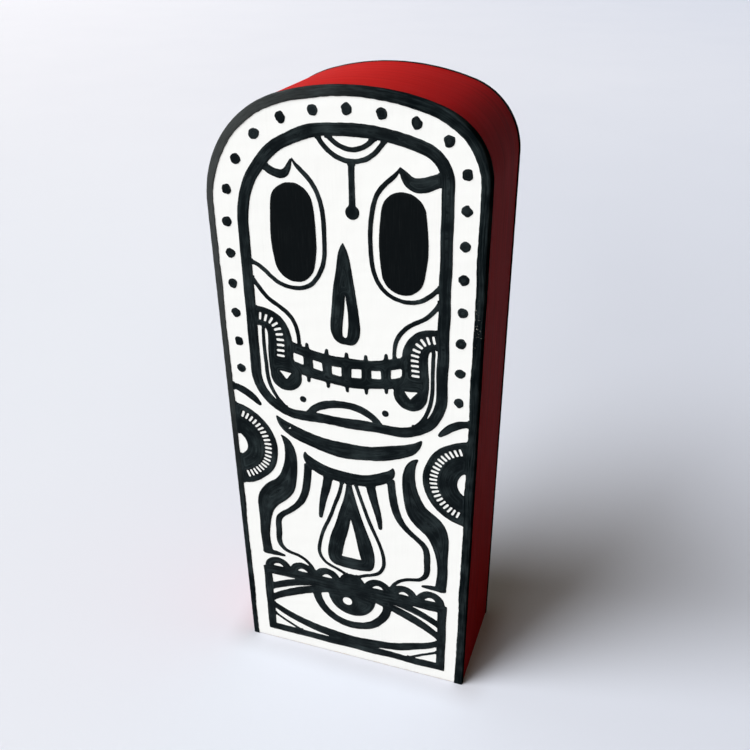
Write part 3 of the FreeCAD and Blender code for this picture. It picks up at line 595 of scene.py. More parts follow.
def face_rings(node: bpy.types.Object, face: Face) -> list[np.ndarray]:
    """Gives the outlines of a CAD node on its outer face.

    Args:
        node: the CAD node's object.
        face: the side of the block that it lies on.

    Returns:
        Closed rings of (x, z), with the node's area on the left, seen from outside the front.
    """
    flat_within = 0.02
    points, triangles = node_triangles(node)
    depth = points[:, 1] * face.value
    outer = triangles[(depth[triangles] > depth.max() - flat_within).all(axis=1)]
    return [points[ring][:, [0, 2]] for ring in walk_rings(free_edges(outer))]


def distance_walked(line: np.ndarray) -> np.ndarray:
    """Gives the distance along an open line at each of its points."""
    return np.concatenate([[0.0], np.cumsum(np.hypot(*np.diff(line, axis=0).T))])


def points_at(line: np.ndarray, walked: np.ndarray, where: np.ndarray) -> np.ndarray:
    """Gives the points of a line at the distances in where; walked holds its own points'."""
    return np.column_stack([np.interp(where, walked, line[:, axis]) for axis in (0, 1)])


def even_ring(ring: np.ndarray, step: float) -> np.ndarray:
    """Spaces a closed ring's points evenly, and rounds its corners a little.

    Args:
        ring: (x, z) of each point.
        step: distance between points.

    Returns:
        The new ring, each point moved towards the mean of its neighbours, twice.
    """
    fewest = 12
    closed = np.vstack([ring, ring[:1]])
    walked = distance_walked(closed)
    count = max(fewest, int(round(walked[-1] / step)))
    even = points_at(closed, walked, np.arange(count) * walked[-1] / count)
    for _ in range(2):
        even = even * 0.5 + (np.roll(even, 1, axis=0) + np.roll(even, -1, axis=0)) * 0.25
    return even


def outward(ring: np.ndarray) -> np.ndarray:
    """Gives the unit normal at each point of a closed ring, away from the area on its left."""
    along = np.roll(ring, -1, axis=0) - np.roll(ring, 1, axis=0)
    along /= np.maximum(np.hypot(*along.T), 1e-9)[:, None]
    return np.column_stack([along[:, 1], -along[:, 0]])


def ring_area(rings: Sequence[np.ndarray]) -> float:
    """Gives the area inside rings, holes taken off, by the shoelace sum."""
    total = 0.0
    for ring in rings:
        ahead = np.roll(ring, -1, axis=0)
        total += 0.5 * float(np.sum(ring[:, 0] * ahead[:, 1] - ahead[:, 0] * ring[:, 1]))
    return total


@dataclass(frozen=True)
class Drift:
    """An unsteady hand: a smooth shift of the drawing that depends only on the place.

    Each wave is a sine of the place along its own direction, and pushes along another.
    """

    seed: int
    waves: tuple[tuple[float, float], ...] = ((0.10, 15.0), (0.032, 3.6), (0.016, 1.2))
    per_wave: int = 5

    def shift(self, points: np.ndarray) -> np.ndarray:
        """Works out the shift.

        Args:
            points: (x, z) of each point.

        Returns:
            The shift of each point: the sum of the waves, each about as large as its amplitude.
        """
        random = np.random.default_rng(self.seed)
        moved = np.zeros_like(points)
        for amplitude, length in self.waves:
            turn, push, phase = random.uniform(0.0, 2.0 * math.pi, (3, self.per_wave))
            spread = random.uniform(0.75, 1.35, self.per_wave) * 2.0 * math.pi / length
            walk = points @ np.vstack([np.cos(turn), np.sin(turn)]) * spread + phase
            size = amplitude * math.sqrt(2.0 / self.per_wave)
            moved += np.sin(walk) @ np.column_stack([np.cos(push), np.sin(push)]) * size
        return moved


def ripple(seed: int, walked: np.ndarray, waves: Sequence[tuple[float, float]]) -> np.ndarray:
    """Gives a smooth unevenness along a line: a sum of sines.

    Args:
        seed: picks the phases.
        walked: distance along the line.
        waves: amplitude and length of each sine.

    Returns:
        The sum at each distance.
    """
    random = np.random.default_rng(seed)
    total = np.zeros_like(walked)
    for amplitude, length in waves:
        for share in (1.0, 0.7, 0.5):
            spread = random.uniform(0.7, 1.4) * 2.0 * math.pi / length
            total += amplitude * share * np.sin(walked * spread + random.uniform(0.0, 2.0 * math.pi))
    return total


# ---------------------------------------------------------------------------------------------
# Meshes
# ---------------------------------------------------------------------------------------------


def facing_out(points: np.ndarray, faces: list[np.ndarray]) -> list[np.ndarray]:
    """Turns a closed mesh right side out, by the sign of its volume.

    Args:
        points: the mesh's points.
        faces: blocks of faces, each block with one number of corners.

    Returns:
        The blocks, turned round if the volume was negative.
    """
    volume = 0.0
    for block in faces:
        first = points[block[:, 0]]
        for corner in range(1, block.shape[1] - 1):
            second, third = points[block[:, corner]], points[block[:, corner + 1]]
            volume += float(np.sum(first * np.cross(second, third)))
    return faces if volume > 0 else [block[:, ::-1] for block in faces]


def put(name: str, data: bpy.types.ID) -> bpy.types.Object:
    """Makes an object around its data and links it into the scene."""
    thing = bpy.data.objects.new(name, data)
    bpy.context.scene.collection.objects.link(thing)
    return thing


def make_piece(name: str, points: np.ndarray, faces: list[np.ndarray], material: bpy.types.Material,
               marks: dict[str, np.ndarray]) -> bpy.types.Object:
    """Writes a mesh and its object.

    Args:
        name: the piece's name.
        points: millimetres.
        faces: blocks of faces, each block with one number of corners.
        material: the piece's finish.
        marks: numbers kept at each point, by name.

    Returns:
        The object, at the origin, unturned.
    """
    crease = math.radians(50.0)
    blocks = facing_out(points, faces)
    mesh = bpy.data.meshes.new(name)
    mesh.vertices.add(len(points))
    mesh.vertices.foreach_set("co", (points * MM).astype(np.float32).ravel())
    sizes = np.concatenate([np.full(len(block), block.shape[1]) for block in blocks])
    corners = np.concatenate([block.ravel() for block in blocks])
    mesh.loops.add(len(corners))
    mesh.loops.foreach_set("vertex_index", corners.astype(np.int32))
    mesh.polygons.add(len(sizes))
    firsts = np.concatenate([[0], np.cumsum(sizes)[:-1]])
    mesh.polygons.foreach_set("loop_start", firsts.astype(np.int32))
    mesh.polygons.foreach_set("use_smooth", np.ones(len(sizes), bool))
    mesh.update(calc_edges=True)
    mesh.validate()
    mesh.set_sharp_from_angle(angle=crease)
    for key, values in marks.items():
        mesh.attributes.new(key, "FLOAT", "POINT").data.foreach_set("value", values.astype(np.float32))
    mesh.materials.append(material)
    return put(name, mesh)


def settle(piece: bpy.types.Object, slot: Slot, *nodes: str) -> None:
    """Rides a piece on the block and hides the CAD nodes that it stands for."""
    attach(piece, "root")
    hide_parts(*nodes)
    LOG.info("%s: %d faces, for %s", piece.name, len(piece.data.polygons), ", ".join(nodes))


def strip_faces(rows: int, columns: int) -> list[np.ndarray]:
    """Gives the faces of closed rings in a row, with the first and the last ring capped.

    Args:
        rows: number of rings.
        columns: points in a ring.

    Returns:
        The quads, and the two end faces.
    """
    number = np.arange(rows * columns).reshape(rows, columns)
    ahead = np.roll(number, -1, axis=1)
    quads = np.stack([number[:-1], ahead[:-1], ahead[1:], number[1:]], axis=-1).reshape(-1, 4)
    return [quads, np.stack([number[0][::-1], number[-1]])]


# ---------------------------------------------------------------------------------------------
# The block's edge
# ---------------------------------------------------------------------------------------------


@dataclass
class ArchPath:
    """The outline of the block from the right foot, over the crown, to the left foot."""

    ground: bpy.types.Object
    step: float = 0.6
    smoothing: int = 6
    points: np.ndarray = field(init=False)
    normals: np.ndarray = field(init=False)
    walked: np.ndarray = field(init=False)

    def __post_init__(self) -> None:
        """Reads the ground's ring, opens it at the foot and spaces it evenly."""
        ring = face_rings(self.ground, Face.FRONT)[0]
        floor = ring[:, 1].min()
        foot = np.flatnonzero(ring[:, 1] < floor + 1e-3)
        start = foot[np.argmax(ring[foot, 0])]
        line = np.roll(ring, -start, axis=0)
        gone = distance_walked(line)
        self.walked = np.linspace(0.0, gone[-1], int(round(gone[-1] / self.step)))
        even = points_at(line, gone, self.walked)
        for _ in range(self.smoothing):
            even[1:-1] = even[1:-1] * 0.5 + (even[:-2] + even[2:]) * 0.25
        self.points = even
        along = np.gradient(even, axis=0)
        along /= np.hypot(*along.T)[:, None]
        along[[0, -1], 0] = 0.0
        along[[0, -1], 1] = np.sign(along[[0, -1], 1])
        self.normals = np.column_stack([along[:, 1], -along[:, 0]])

    def carry(self, reach: np.ndarray, depth: np.ndarray) -> np.ndarray:
        """Carries a profile along the path.

        Args:
            reach: how far each point of each profile stands out from the path; a row per place.
            depth: y of each point; a row per place.

        Returns:
            Points, a row per place: path + reach * normal, at that depth.
        """
        flat = self.points[:, None, :] + reach[:, :, None] * self.normals[:, None, :]
        return np.stack([flat[:, :, 0], depth, flat[:, :, 1]], axis=-1)


@dataclass
class EdgeCoat:
    """The red coat round the edge of the block."""

    node: bpy.types.Object
    path: ArchPath
    columns: int = 72
    hug: float = 0.02
    swell: float = 0.02

    def build(self, finish: RedFinish) -> bpy.types.Object:
        """Makes the coat: a flat ribbon with brush ridges that run along the edge.

        Args:
            finish: the coat's paint.

        Returns:
            The piece.
        """
        low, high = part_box(self.node.name)
        front, back, thick = low.y / MM, high.y / MM, high.x / MM - float(self.path.points[0, 0])
        share = np.linspace(0.0, 1.0, self.columns)
        depth_line = front + (back - front) * share
        rows = len(self.path.walked)
        ridges = ripple(11, depth_line, ((0.5, 1.7), (0.5, 4.6), (0.6, 13.0)))
        slow = ripple(12, self.path.walked, ((0.4, 45.0), (0.4, 120.0)))
        outer = thick - self.swell + self.swell * 0.4 * (ridges[None, :] * (0.6 + 0.3 * slow[:, None]))
        reach = np.concatenate([np.minimum(outer, thick), np.full((rows, 2), -self.hug)], axis=1)
        depth = np.broadcast_to(np.concatenate([depth_line, [back, front]]), reach.shape)
        points = self.path.carry(reach, depth).reshape(-1, 3)
        marks = {"along": np.repeat(self.path.walked, reach.shape[1]), "across": depth.ravel()}
        piece = make_piece("red_coat_skin", points, strip_faces(*reach.shape), finish.build(), marks)
        settle(piece, Slot.RED, self.node.name)
        return piece


@dataclass
class RimBand:
    """The black line that frames a face and turns over onto the edge."""

    node: bpy.types.Object
    path: ArchPath
    face: Face
    seed: int
    spill: float
    wrap: float = 1.6
    round_by: float = 0.55
    skin: float = 0.24
    sink: float = 0.06
    hug: float = 0.05
    edge: tuple[tuple[float, float], ...] = ((0.0, 0.3), (0.05, 0.72), (0.16, 0.95), (0.3, 1.0))
    inner_foot: tuple[float, float] = (0.0, -0.06)
    inner_flat: tuple[float, float] = (0.8, 1.0)
    side_foot: tuple[float, float] = (0.0, -0.2)
    least: float = 2.3
    crown_gain: float = 0.75
    right_gain: float = 0.85
    right_loss: float = 0.55
    crown_turn: float = 0.5
    spill_low: float = 0.5
    spill_high: float = 3.0

    def width(self) -> np.ndarray:
        """Gives the line's width on the face: wider over the crown and down the right side."""
        crown, right, height = self._lie()
        waves = ((0.10, 60.0), (0.06, 17.0), (0.03, 4.2), (0.012, 1.4))
        steady = (self.least + crown * self.crown_gain
                  + right * (self.right_gain - self.right_loss * height))
        return steady + ripple(self.seed, self.path.walked, waves)

    def turned(self) -> np.ndarray:
        """Gives the line's width on the edge: it spills furthest at the right shoulder."""
        crown, right, height = self._lie()
        waves = ((0.12, 30.0), (0.06, 7.0), (0.03, 1.8))
        spilled = right * (self.spill_low + self.spill_high * height) * self.spill
        steady = self.wrap - self.crown_turn * crown + spilled
        return steady + ripple(self.seed + 5, self.path.walked, waves)

    def _lie(self) -> tuple[np.ndarray, np.ndarray, np.ndarray]:
        """Gives, along the path, how far it faces up, how far right, and its share of the height."""
        up, right = self.path.normals[:, 1].clip(0.0, 1.0), self.path.normals[:, 0].clip(0.0, 1.0)
        return up, right, self.path.points[:, 1] / self.path.points[:, 1].max()

    def build(self, material: bpy.types.Material, ground_level: float, coat: float) -> bpy.types.Object:
        """Makes the line: a closed L, rounded at its corner, carried along the path.

        A row of edge, like the foot and the flat beside it, is an inset from the paint's edge and
        the share of its thickness there; a share below 0 lies in what is painted over.

        Args:
            material: the black paint.
            ground_level: distance of the ground's surface from y = 0.
            coat: how far the coat stands out from the path.

        Returns:
            The piece.
        """
        level = np.full(len(self.path.walked), ground_level)
        width, side_end = self.width(), ground_level - self.turned()
        corner_reach = coat + self.skin - self.round_by
        corner_depth = level + self.skin - self.round_by
        profile = [(inset - width, level + self.skin * height)
                   for inset, height in (self.inner_foot, *self.edge, self.inner_flat)]
        for angle in np.linspace(0.0, 0.5 * math.pi, 7):
            profile.append((corner_reach + self.round_by * math.sin(angle),
                            corner_depth + self.round_by * math.cos(angle)))
        for inset, height in (*self.edge[::-1], self.side_foot):
            profile.append((coat + self.skin * height, side_end + inset))
        profile += [(-self.hug, side_end), (-self.hug, level - self.sink)]
        spread = [np.broadcast_arrays(level, *place)[1:] for place in profile]
        reach, depth = (np.column_stack([place[axis] for place in spread]) for axis in (0, 1))
        soft = ripple(self.seed + 9, self.path.walked, ((0.008, 9.0), (0.006, 2.8)))[:, None]
        shown = (depth > ground_level) | (reach > coat)
        points = self.path.carry(reach + soft * shown, (depth + soft * shown) * self.face.value)
        across = np.minimum(reach + width[:, None], depth - side_end[:, None] + self.wrap)
        piece = make_piece(f"{self.node.name}_paint", points.reshape(-1, 3), strip_faces(*reach.shape),
                           material, {"edge_distance": across.ravel()})
        settle(piece, Slot.BLACK, self.node.name)
        return piece


@dataclass
class Ground:
    """The white ground on one face."""

    node: bpy.types.Object
    path: ArchPath
    face: Face
    rings: int = 60
    tuck: float = 0.3
    foot_gap: float = 0.32
    spine_from: float = 40.0
    spine_below_top: float = 60.0
    smallest: float = 0.02
    swell: float = 0.02
    edge_drop: float = 0.05
    relief: Drift = field(default_factory=lambda: Drift(41, ((0.012, 9.0), (0.008, 4.0))))

    def build(self, material: bpy.types.Material) -> bpy.types.Object:
        """Makes the ground: rings that shrink from the outline onto the middle line of the face.

        A point at share s of the way is spine + s * (outline - spine), where the spine is the
        nearest point of an upright line; the surface swells by a few hundredths over its area.

        Args:
            material: the ground's paint.

        Returns:
            The piece.
        """
        low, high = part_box(self.node.name)
        inner, outer = sorted((abs(low.y) / MM, abs(high.y) / MM))
        outline = np.vstack([self.path.points - self.path.normals * self.tuck, self._foot()])
        heights = outline[:, 1].clip(self.spine_from, high.z / MM - self.spine_below_top)
        spine = np.column_stack([np.full(len(outline), outline[:, 0].mean()), heights])
        share = np.linspace(1.0, self.smallest, self.rings)
        flat = spine[None] + share[:, None, None] * (outline - spine)[None]
        relief = self.relief.shift(flat.reshape(-1, 2))[:, 0].reshape(flat.shape[:2])
        level = outer - self.swell + relief.clip(-self.swell, self.swell)
        level[0] = outer - self.edge_drop
        under = np.full(len(outline), inner)
        top = np.stack([flat[:, :, 0], level, flat[:, :, 1]], axis=-1)
        base = np.column_stack([outline[:, 0], under, outline[:, 1]])[None]
        points = np.concatenate([base, top]) * np.array([1.0, self.face.value, 1.0])
        faces = strip_faces(*points.shape[:2])
        piece = make_piece(f"{self.node.name}_skin", points.reshape(-1, 3), faces, material, {})
        settle(piece, Slot.WHITE, self.node.name)
        return piece

    def _foot(self) -> np.ndarray:
        """Gives the points of the foot line, left to right: it stops short of the floor, unevenly."""
        left, right = self.path.points[-1], self.path.points[0]
        share = np.linspace(0.0, 1.0, 90)[1:-1]
        line = left[None] + (right - left)[None] * share[:, None]
        worn = self.foot_gap + ripple(71, line[:, 0], ((0.05, 19.0), (0.035, 5.0), (0.02, 1.9)))
        return np.column_stack([line[:, 0], line[:, 1] + worn])


# ---------------------------------------------------------------------------------------------
# Painted strokes
# ---------------------------------------------------------------------------------------------


def depth_inside(points: np.ndarray, starts: np.ndarray, ends: np.ndarray) -> np.ndarray:
    """Measures how far points lie inside an outline.

    Args:
        points: (x, z) of each point.
        starts: where each stretch of the outline starts.
        ends: where each stretch ends.

    Returns:
        The distance to the nearest stretch, below 0 where a ray to the right crosses an even
        number of stretches, so that the point lies outside.
    """
    most_pairs = 1_500_000
    block = max(1, most_pairs // len(starts))
    run = (ends - starts).astype(np.float32)
    squared = np.maximum((run * run).sum(axis=1), 1e-12)
    found = []
    for first in range(0, len(points), block):
        gap = points[first:first + block, None, :].astype(np.float32) - starts[None].astype(np.float32)
        share = ((gap * run).sum(axis=2) / squared).clip(0.0, 1.0)
        away = gap - share[:, :, None] * run
        distance = np.sqrt((away * away).sum(axis=2).min(axis=1))
        below = gap[:, :, 1] < 0.0
        past = gap[:, :, 1] - run[None, :, 1] < 0.0
        slope = np.where(run[:, 1] == 0.0, 1.0, run[:, 1])
        right = gap[:, :, 0] < gap[:, :, 1] / slope * run[:, 0]
        inside = ((below != past) & right).sum(axis=1) % 2 == 1
        found.append(np.where(inside, distance, -distance))
    return np.concatenate(found)


@dataclass
class Stroke:
    """One painted shape: outlines, with paint on their left."""

    node: bpy.types.Object
    rings: list[np.ndarray]

    @classmethod
    def of(cls, node: bpy.types.Object, step: float) -> Stroke:
        """Reads a CAD node's outlines and spaces them evenly."""
        return cls(node, [even_ring(ring, step) for ring in face_rings(node, Face.FRONT)])

    @property
    def line(self) -> np.ndarray:
        """All points of the outlines."""
        return np.vstack(self.rings)

    def tuck_under(self, neighbours: np.ndarray, reach: float, push: float) -> None:
        """Pushes the outline out where it meets a neighbour, so that it runs in under it.

        Args:
            neighbours: points of the neighbours' outlines.
            reach: how near counts as meeting.
            push: how far the outline goes in under.
        """
        pushed = []
        for ring in self.rings:
            low, high = ring.min(axis=0) - reach, ring.max(axis=0) + reach
            near = neighbours[((neighbours > low) & (neighbours < high)).all(axis=1)]
            if len(near):
                gap = np.hypot(ring[:, None, 0] - near[None, :, 0], ring[:, None, 1] - near[None, :, 1])
                meets = (gap.min(axis=1) < reach).astype(float)
                meets = np.maximum(meets, 0.5 * (np.roll(meets, 1) + np.roll(meets, -1)))
                ring = ring + outward(ring) * (meets * push)[:, None]
            pushed.append(ring)
        self.rings = pushed


@dataclass
class Paint:
    """How strokes are built up: a skin of paint with rounded edges and faint ridges."""

    step: float = 0.3
    edge: float = 0.24
    foot_share: float = 0.3
    insets: tuple[float, ...] = (0.1, 0.22)
    keeps: float = 0.85
    clears: float = 1.5
    cell: float = 0.85
    ridge: float = 0.012
    sink: float = 0.06
    seed: int = 5

    def fill(self, stroke: Stroke) -> tuple[np.ndarray, np.ndarray, np.ndarray]:
        """Covers a stroke's area with triangles.

        Args:
            stroke: the stroke.

        Returns:
            Points (x, z), triangles, and each point's distance to the nearest edge.
        """
        line = stroke.line
        firsts = np.cumsum([0] + [len(ring) for ring in stroke.rings])
        counts = [np.arange(len(ring)) for ring in stroke.rings]
        pairs = np.vstack([np.column_stack([count, np.roll(count, -1)]) + first
                           for count, first in zip(counts, firsts)])
        starts, ends = line[pairs[:, 0]], line[pairs[:, 1]]
        normals = np.vstack([outward(ring) for ring in stroke.rings])
        added = []
        for inset in self.insets:
            inner = line - normals * inset
            added.append(inner[depth_inside(inner, starts, ends) > inset * self.keeps])
        grid = self._grid(line)
        added.append(grid[depth_inside(grid, starts, ends) > self.insets[-1] * self.clears])
        points = np.vstack([line, *added])
        corners = [Vector(point) for point in points.tolist()]
        made = delaunay_2d_cdt(corners, pairs.tolist(), [], 0, 1e-5)
        flat = np.array([point[:] for point in made[0]])
        triangles = np.array(made[2])
        kept = triangles[depth_inside(flat[triangles].mean(axis=1), starts, ends) > 0.0]
        used, renamed = np.unique(kept, return_inverse=True)
        flat, kept = flat[used], renamed.reshape(-1, 3)
        depth = np.abs(depth_inside(flat, starts, ends))
        depth[np.unique(free_edges(kept))] = 0.0
        return flat, kept, depth

    def _grid(self, line: np.ndarray) -> np.ndarray:
        """Gives scattered points over an outline's box, one to a cell."""
        low, high = line.min(axis=0), line.max(axis=0)
        axes = [np.arange(low[axis], high[axis], self.cell) for axis in (0, 1)]
        grid = np.stack(np.meshgrid(*axes), axis=-1).reshape(-1, 2)
        return grid + np.random.default_rng(self.seed).uniform(0.15, 0.85, grid.shape) * self.cell

    def build(self, stroke: Stroke, level: float, thickness: float,
              material: bpy.types.Material) -> bpy.types.Object:
        """Builds a stroke's skin.

        The height over the ground is thickness * (foot + (1 - foot) * sin of the quarter turn
        that ends at the edge's width), with faint ridges; the underside lies in the ground.

        Args:
            stroke: the stroke.
            level: distance of the ground's surface from y = 0.
            thickness: of the paint.
            material: the paint.

        Returns:
            The piece.
        """
        flat, triangles, depth = self.fill(stroke)
        rise = np.sin((depth / self.edge).clip(0.0, 1.0) * 0.5 * math.pi)
        ridges = Drift(self.seed, ((self.ridge, 2.6),)).shift(flat)[:, 0] * rise
        height = thickness * (self.foot_share + (1.0 - self.foot_share) * rise) + ridges
        count = len(flat)
        top = np.column_stack([flat[:, 0], -(level + height), flat[:, 1]])
        under = np.column_stack([flat[:, 0], np.full(count, -(level - self.sink)), flat[:, 1]])
        rim = free_edges(triangles)
        walls = np.column_stack([rim[:, 1], rim[:, 0], rim[:, 0] + count, rim[:, 1] + count])
        faces = [np.vstack([triangles, triangles[:, ::-1] + count]), walls]
        marks = {"edge_distance": np.concatenate([depth, np.zeros(count)])}
        return make_piece(f"{stroke.node.name}_paint", np.vstack([top, under]), faces, material, marks)


@dataclass
class StrokeGroup:
    """Painted strokes that belong together, under the names of their CAD nodes."""

    nodes: dict[str, bpy.types.Object]
    plain: tuple[str, ...] = ()
    paired: tuple[str, ...] = ()
    hollow: tuple[str, ...] = ()
    dabs: tuple[str, ...] = ()

    def names(self) -> list[str]:
        """Gives the names of the group's CAD nodes, left and right ones written out."""
        sides = [f"{side}_{name}" for name in self.paired for side in ("left", "right")]
        return [*self.plain, *sides]

    def is_hollow(self, name: str) -> bool:
        """Tells whether a stroke gets the blackest paint."""
        return any(name.endswith(word) for word in self.hollow)


class Border(StrokeGroup):
    """The hood's line and the dots between it and the rim."""

    def __init__(self, nodes: dict[str, bpy.types.Object]) -> None:
        """Names the strokes."""
        super().__init__(nodes, ("hood_outline", "border_dots"), dabs=("border_dots",))


class Skull(StrokeGroup):
    """The face inside the hood."""

    def __init__(self, nodes: dict[str, bpy.types.Object]) -> None:
        """Names the strokes."""
        super().__init__(nodes, ("forehead_arcs", "forehead_pendant", "nose", "teeth", "chin_crescent",
                                 "chin_dots"),
                         ("eye_socket", "eye_line", "brow", "cheek", "cheek_line", "jaw_line"),
                         ("eye_socket",))


class Garment(StrokeGroup):
    """Rosettes at the shoulders, collar, robe and the hanging drop."""

    def __init__(self, nodes: dict[str, bpy.types.Object]) -> None:
        """Names the strokes."""
        super().__init__(nodes, ("collar_crescent", "yoke", "centre_drop", "drop_line"),
                         ("rosette", "shoulder_crescent", "robe_fold", "robe_band", "tassel"))


class EyePanel(StrokeGroup):
    """The framed eye at the foot."""

    def __init__(self, nodes: dict[str, bpy.types.Object]) -> None:
        """Names the strokes."""
        super().__init__(nodes, ("panel_frame", "panel_scallops", "upper_lid", "lower_lid", "iris_ring",
                                 "pupil"),
                         ("corner_line",))


@dataclass
class Drawing:
    """All the strokes on the front, laid one over the other."""

    groups: list[StrokeGroup]
    rim: RimBand
    level: float
    drift: Drift = field(default_factory=lambda: Drift(23))
    dab_drift: Drift = field(default_factory=lambda: Drift(64, ((0.12, 2.9), (0.04, 1.2))))
    paint: Paint = field(default_factory=Paint)
    meets: float = 0.26
    under_stroke: float = 0.45
    under_rim: float = 0.9
    thinnest: float = 0.17
    thickest: float = 0.21

    def build(self, ink: InkFinish, hollow: HollowFinish) -> None:
        """Reads every stroke, tucks the small under the large, shifts them together and builds them.

        Args:
            ink: the common black paint.
            hollow: the blackest paint.
        """
        black, blackest = ink.build(), hollow.build()
        owners = {name: group for group in self.groups for name in group.names()}
        strokes = sorted((Stroke.of(group.nodes[name], self.paint.step)
                          for name, group in owners.items()),
                         key=lambda stroke: -ring_area(stroke.rings))
        band = Stroke.of(self.rim.node, self.paint.step).line
        laid = []
        for stroke in strokes:
            plain = stroke.line
            if laid:
                stroke.tuck_under(np.vstack(laid), self.meets, self.under_stroke)
            stroke.tuck_under(band, self.meets, self.under_rim)
            laid.append(plain)
        for rank, stroke in enumerate(strokes):
            name = stroke.node.name
            hands = [self.drift, self.dab_drift] if name in owners[name].dabs else [self.drift]
            stroke.rings = [ring + sum(hand.shift(ring) for hand in hands) for ring in stroke.rings]
            share = rank / (len(strokes) - 1)
            thickness = self.thickest + (self.thinnest - self.thickest) * share
            material = blackest if owners[name].is_hollow(name) else black
            settle(self.paint.build(stroke, self.level, thickness, material), Slot.BLACK, name)


# ---------------------------------------------------------------------------------------------
# Stage
# ---------------------------------------------------------------------------------------------


@dataclass(frozen=True)
class Lamp:
    """A soft lamp so far off that it lights the whole stage alike."""

    name: str
    toward: tuple[float, float, float]
    strength: float
    spread: float
    colour: tuple[float, float, float] = (1.0, 1.0, 0.995)

    def hang(self) -> None:
        """Hangs the lamp; its spread is the angle that it fills in the sky, in degrees."""
        light = bpy.data.lights.new(self.name, "SUN")
        light.energy = self.strength
        light.angle = math.radians(self.spread)
        light.color = self.colour
        lamp = put(self.name, light)
        lamp.rotation_mode = "QUATERNION"
        lamp.rotation_quaternion = Vector(self.toward).to_track_quat("Z", "Y")


@dataclass
class Stage:
    """Pale floor that sweeps up behind the block, lamps and sky."""

    half_width: float = 6.0
    near: float = -4.0
    bend_at: float = 3.2
    bend_radius: float = 1.2
    height: float = 4.0
    sky_light: Colour = (0.104, 0.079, 0.048, 1.0)
    sky_seen: Colour = (0.80, 0.81, 0.87, 1.0)
    key: Lamp = field(default_factory=lambda: Lamp("key", (-0.60, -0.49, 0.63), 4.12, 44.0))
    fill: Lamp = field(default_factory=lambda: Lamp("fill", (-0.28, -0.93, 0.22), 1.19, 30.0))
    back: Lamp = field(default_factory=lambda: Lamp("back", (0.0, 0.99, 0.08), 0.8, 12.0))

    def build(self, finish: FloorFinish) -> None:
        """Makes the floor, the lamps and the sky.

        Args:
            finish: the floor's card.
        """
        turn = np.linspace(0.0, 0.5 * math.pi, 24)
        lane = [(self.near, 0.0), *((self.bend_at + self.bend_radius * math.sin(angle),
                                     self.bend_radius * (1.0 - math.cos(angle))) for angle in turn),
                (self.bend_at + self.bend_radius, self.height)]
        lane = np.array(lane)
        across = np.linspace(-self.half_width, self.half_width, 9)
        grid = np.stack(np.broadcast_arrays(across[None, :], lane[:, :1], lane[:, 1:]), axis=-1)
        number = np.arange(grid.shape[0] * grid.shape[1]).reshape(grid.shape[:2])
        quads = np.stack([number[:-1, :-1], number[:-1, 1:], number[1:, 1:], number[1:, :-1]], axis=-1)
        mesh = bpy.data.meshes.new("floor_sweep")
        mesh.from_pydata(grid.reshape(-1, 3).tolist(), [], quads.reshape(-1, 4).tolist())
        mesh.polygons.foreach_set("use_smooth", np.ones(len(mesh.polygons), bool))
        mesh.materials.append(finish.build())
        floor = put("floor_sweep", mesh)
        for lamp in (self.key, self.fill, self.back):
            lamp.hang()
        self._sky()
        LOG.info("stage: floor of %d faces, three lamps", len(mesh.polygons))

    def _sky(self) -> None:
        """Sets a sky that is pale where it is seen, and lights the block only dimly."""
        world = bpy.data.worlds.new("sky")
        world.use_nodes = True
        graph = Graph("sky_expressions", world.node_tree)
        colour = graph.blend(graph.seen(), self.sky_light, self.sky_seen)
        background = graph.add("ShaderNodeBackground", None, {"Color": colour})
        graph.add("ShaderNodeOutputWorld", None, {"Surface": background.outputs[0]})
        bpy.context.scene.world = world


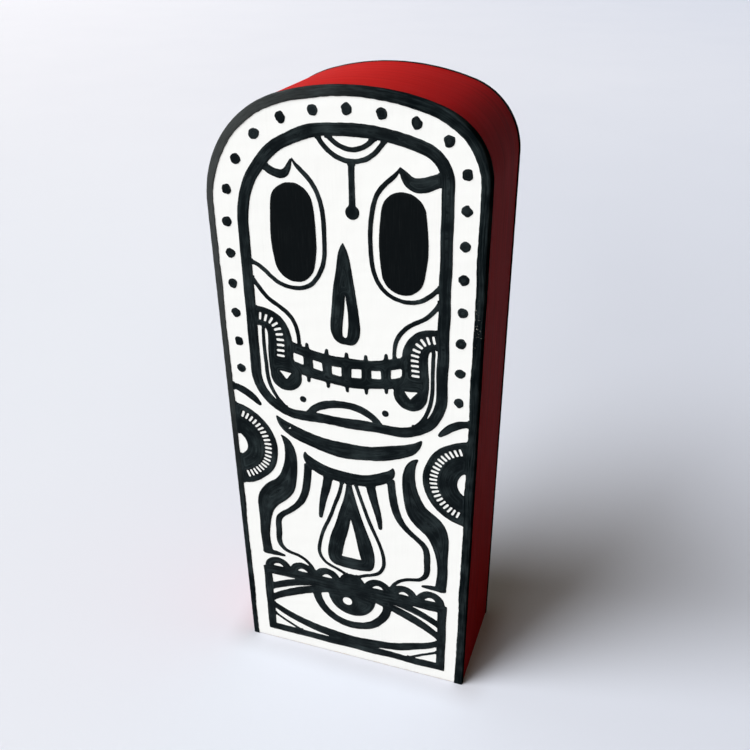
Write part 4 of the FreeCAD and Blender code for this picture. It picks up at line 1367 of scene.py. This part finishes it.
@dataclass(frozen=True)
class Viewpoint:
    """The camera, by the turn and rise of its place about a target; lengths in millimetres."""

    azimuth: float = 19.54
    elevation: float = 30.477
    roll: float = -0.699
    target: tuple[float, float, float] = (2.736, 0.0, 114.4)
    distance: float = 334.24
    lens: float = 41.47
    sensor: float = 36.0
    rise: float = 0.04

    def build(self) -> None:
        """Places the camera and makes it the scene's."""
        turn, lift, roll = (math.radians(angle)
                            for angle in (self.azimuth, self.elevation, self.roll))
        level = math.cos(lift)
        back = Vector((math.sin(turn) * level, -math.cos(turn) * level, math.sin(lift)))
        right = Vector((0.0, 0.0, 1.0)).cross(back).normalized()
        above = back.cross(right)
        side = right * math.cos(roll) + above * math.sin(roll)
        top = above * math.cos(roll) - right * math.sin(roll)
        data = bpy.data.cameras.new("viewpoint")
        data.lens, data.sensor_width, data.shift_y = self.lens, self.sensor, self.rise
        data.clip_start, data.clip_end = 0.01, 50.0
        camera = put("viewpoint", data)
        place = (Vector(self.target) + back * self.distance) * MM
        axes = Matrix((side, top, back)).transposed().to_4x4()
        camera.matrix_world = Matrix.Translation(place) @ axes
        bpy.context.scene.camera = camera
        LOG.info("viewpoint: %.1f mm from its target", self.distance)


def main() -> None:
    """Builds the sub-assemblies in order: block, coat, grounds, rims, drawing, then the stage."""
    logging.basicConfig(level=logging.INFO, format="%(name)s: %(message)s")
    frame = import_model()
    scene = bpy.context.scene
    scene.view_settings.view_transform = "Standard"
    nodes = frame["nodes"]

    wood = nodes["wood_block"]
    wood.data.materials.clear()
    wood.data.materials.append(WoodFinish().build())

    path = ArchPath(nodes["white_front_ground"])
    level = -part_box("white_front_ground")[0].y / MM
    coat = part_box("red_edge_coat")[1].x / MM - float(path.points[0, 0])
    EdgeCoat(nodes["red_edge_coat"], path).build(RedFinish())
    white = GroundFinish().build()
    Ground(nodes["white_front_ground"], path, Face.FRONT).build(white)
    Ground(nodes["white_back_ground"], path, Face.BACK).build(white)

    # The rim's black carries a painted sheen towards the upper left; its chips are wear.
    band_ink = InkFinish("rim_black", rubbed=(43.8, 165.0, 13.0), specular=0.0, sheen_share=0.85).build()
    front_rim = RimBand(nodes["front_rim_band"], path, Face.FRONT, 31, 1.0)
    front_rim.build(band_ink, level, coat)
    RimBand(nodes["back_rim_band"], path, Face.BACK, 57, 0.2).build(band_ink, level, coat)

    groups = [Border(nodes), Skull(nodes), Garment(nodes), EyePanel(nodes)]
    Drawing(groups, front_rim, level).build(InkFinish(), HollowFinish())

    Stage().build(FloorFinish())
    Viewpoint().build()


if __name__ == "__main__":
    main()
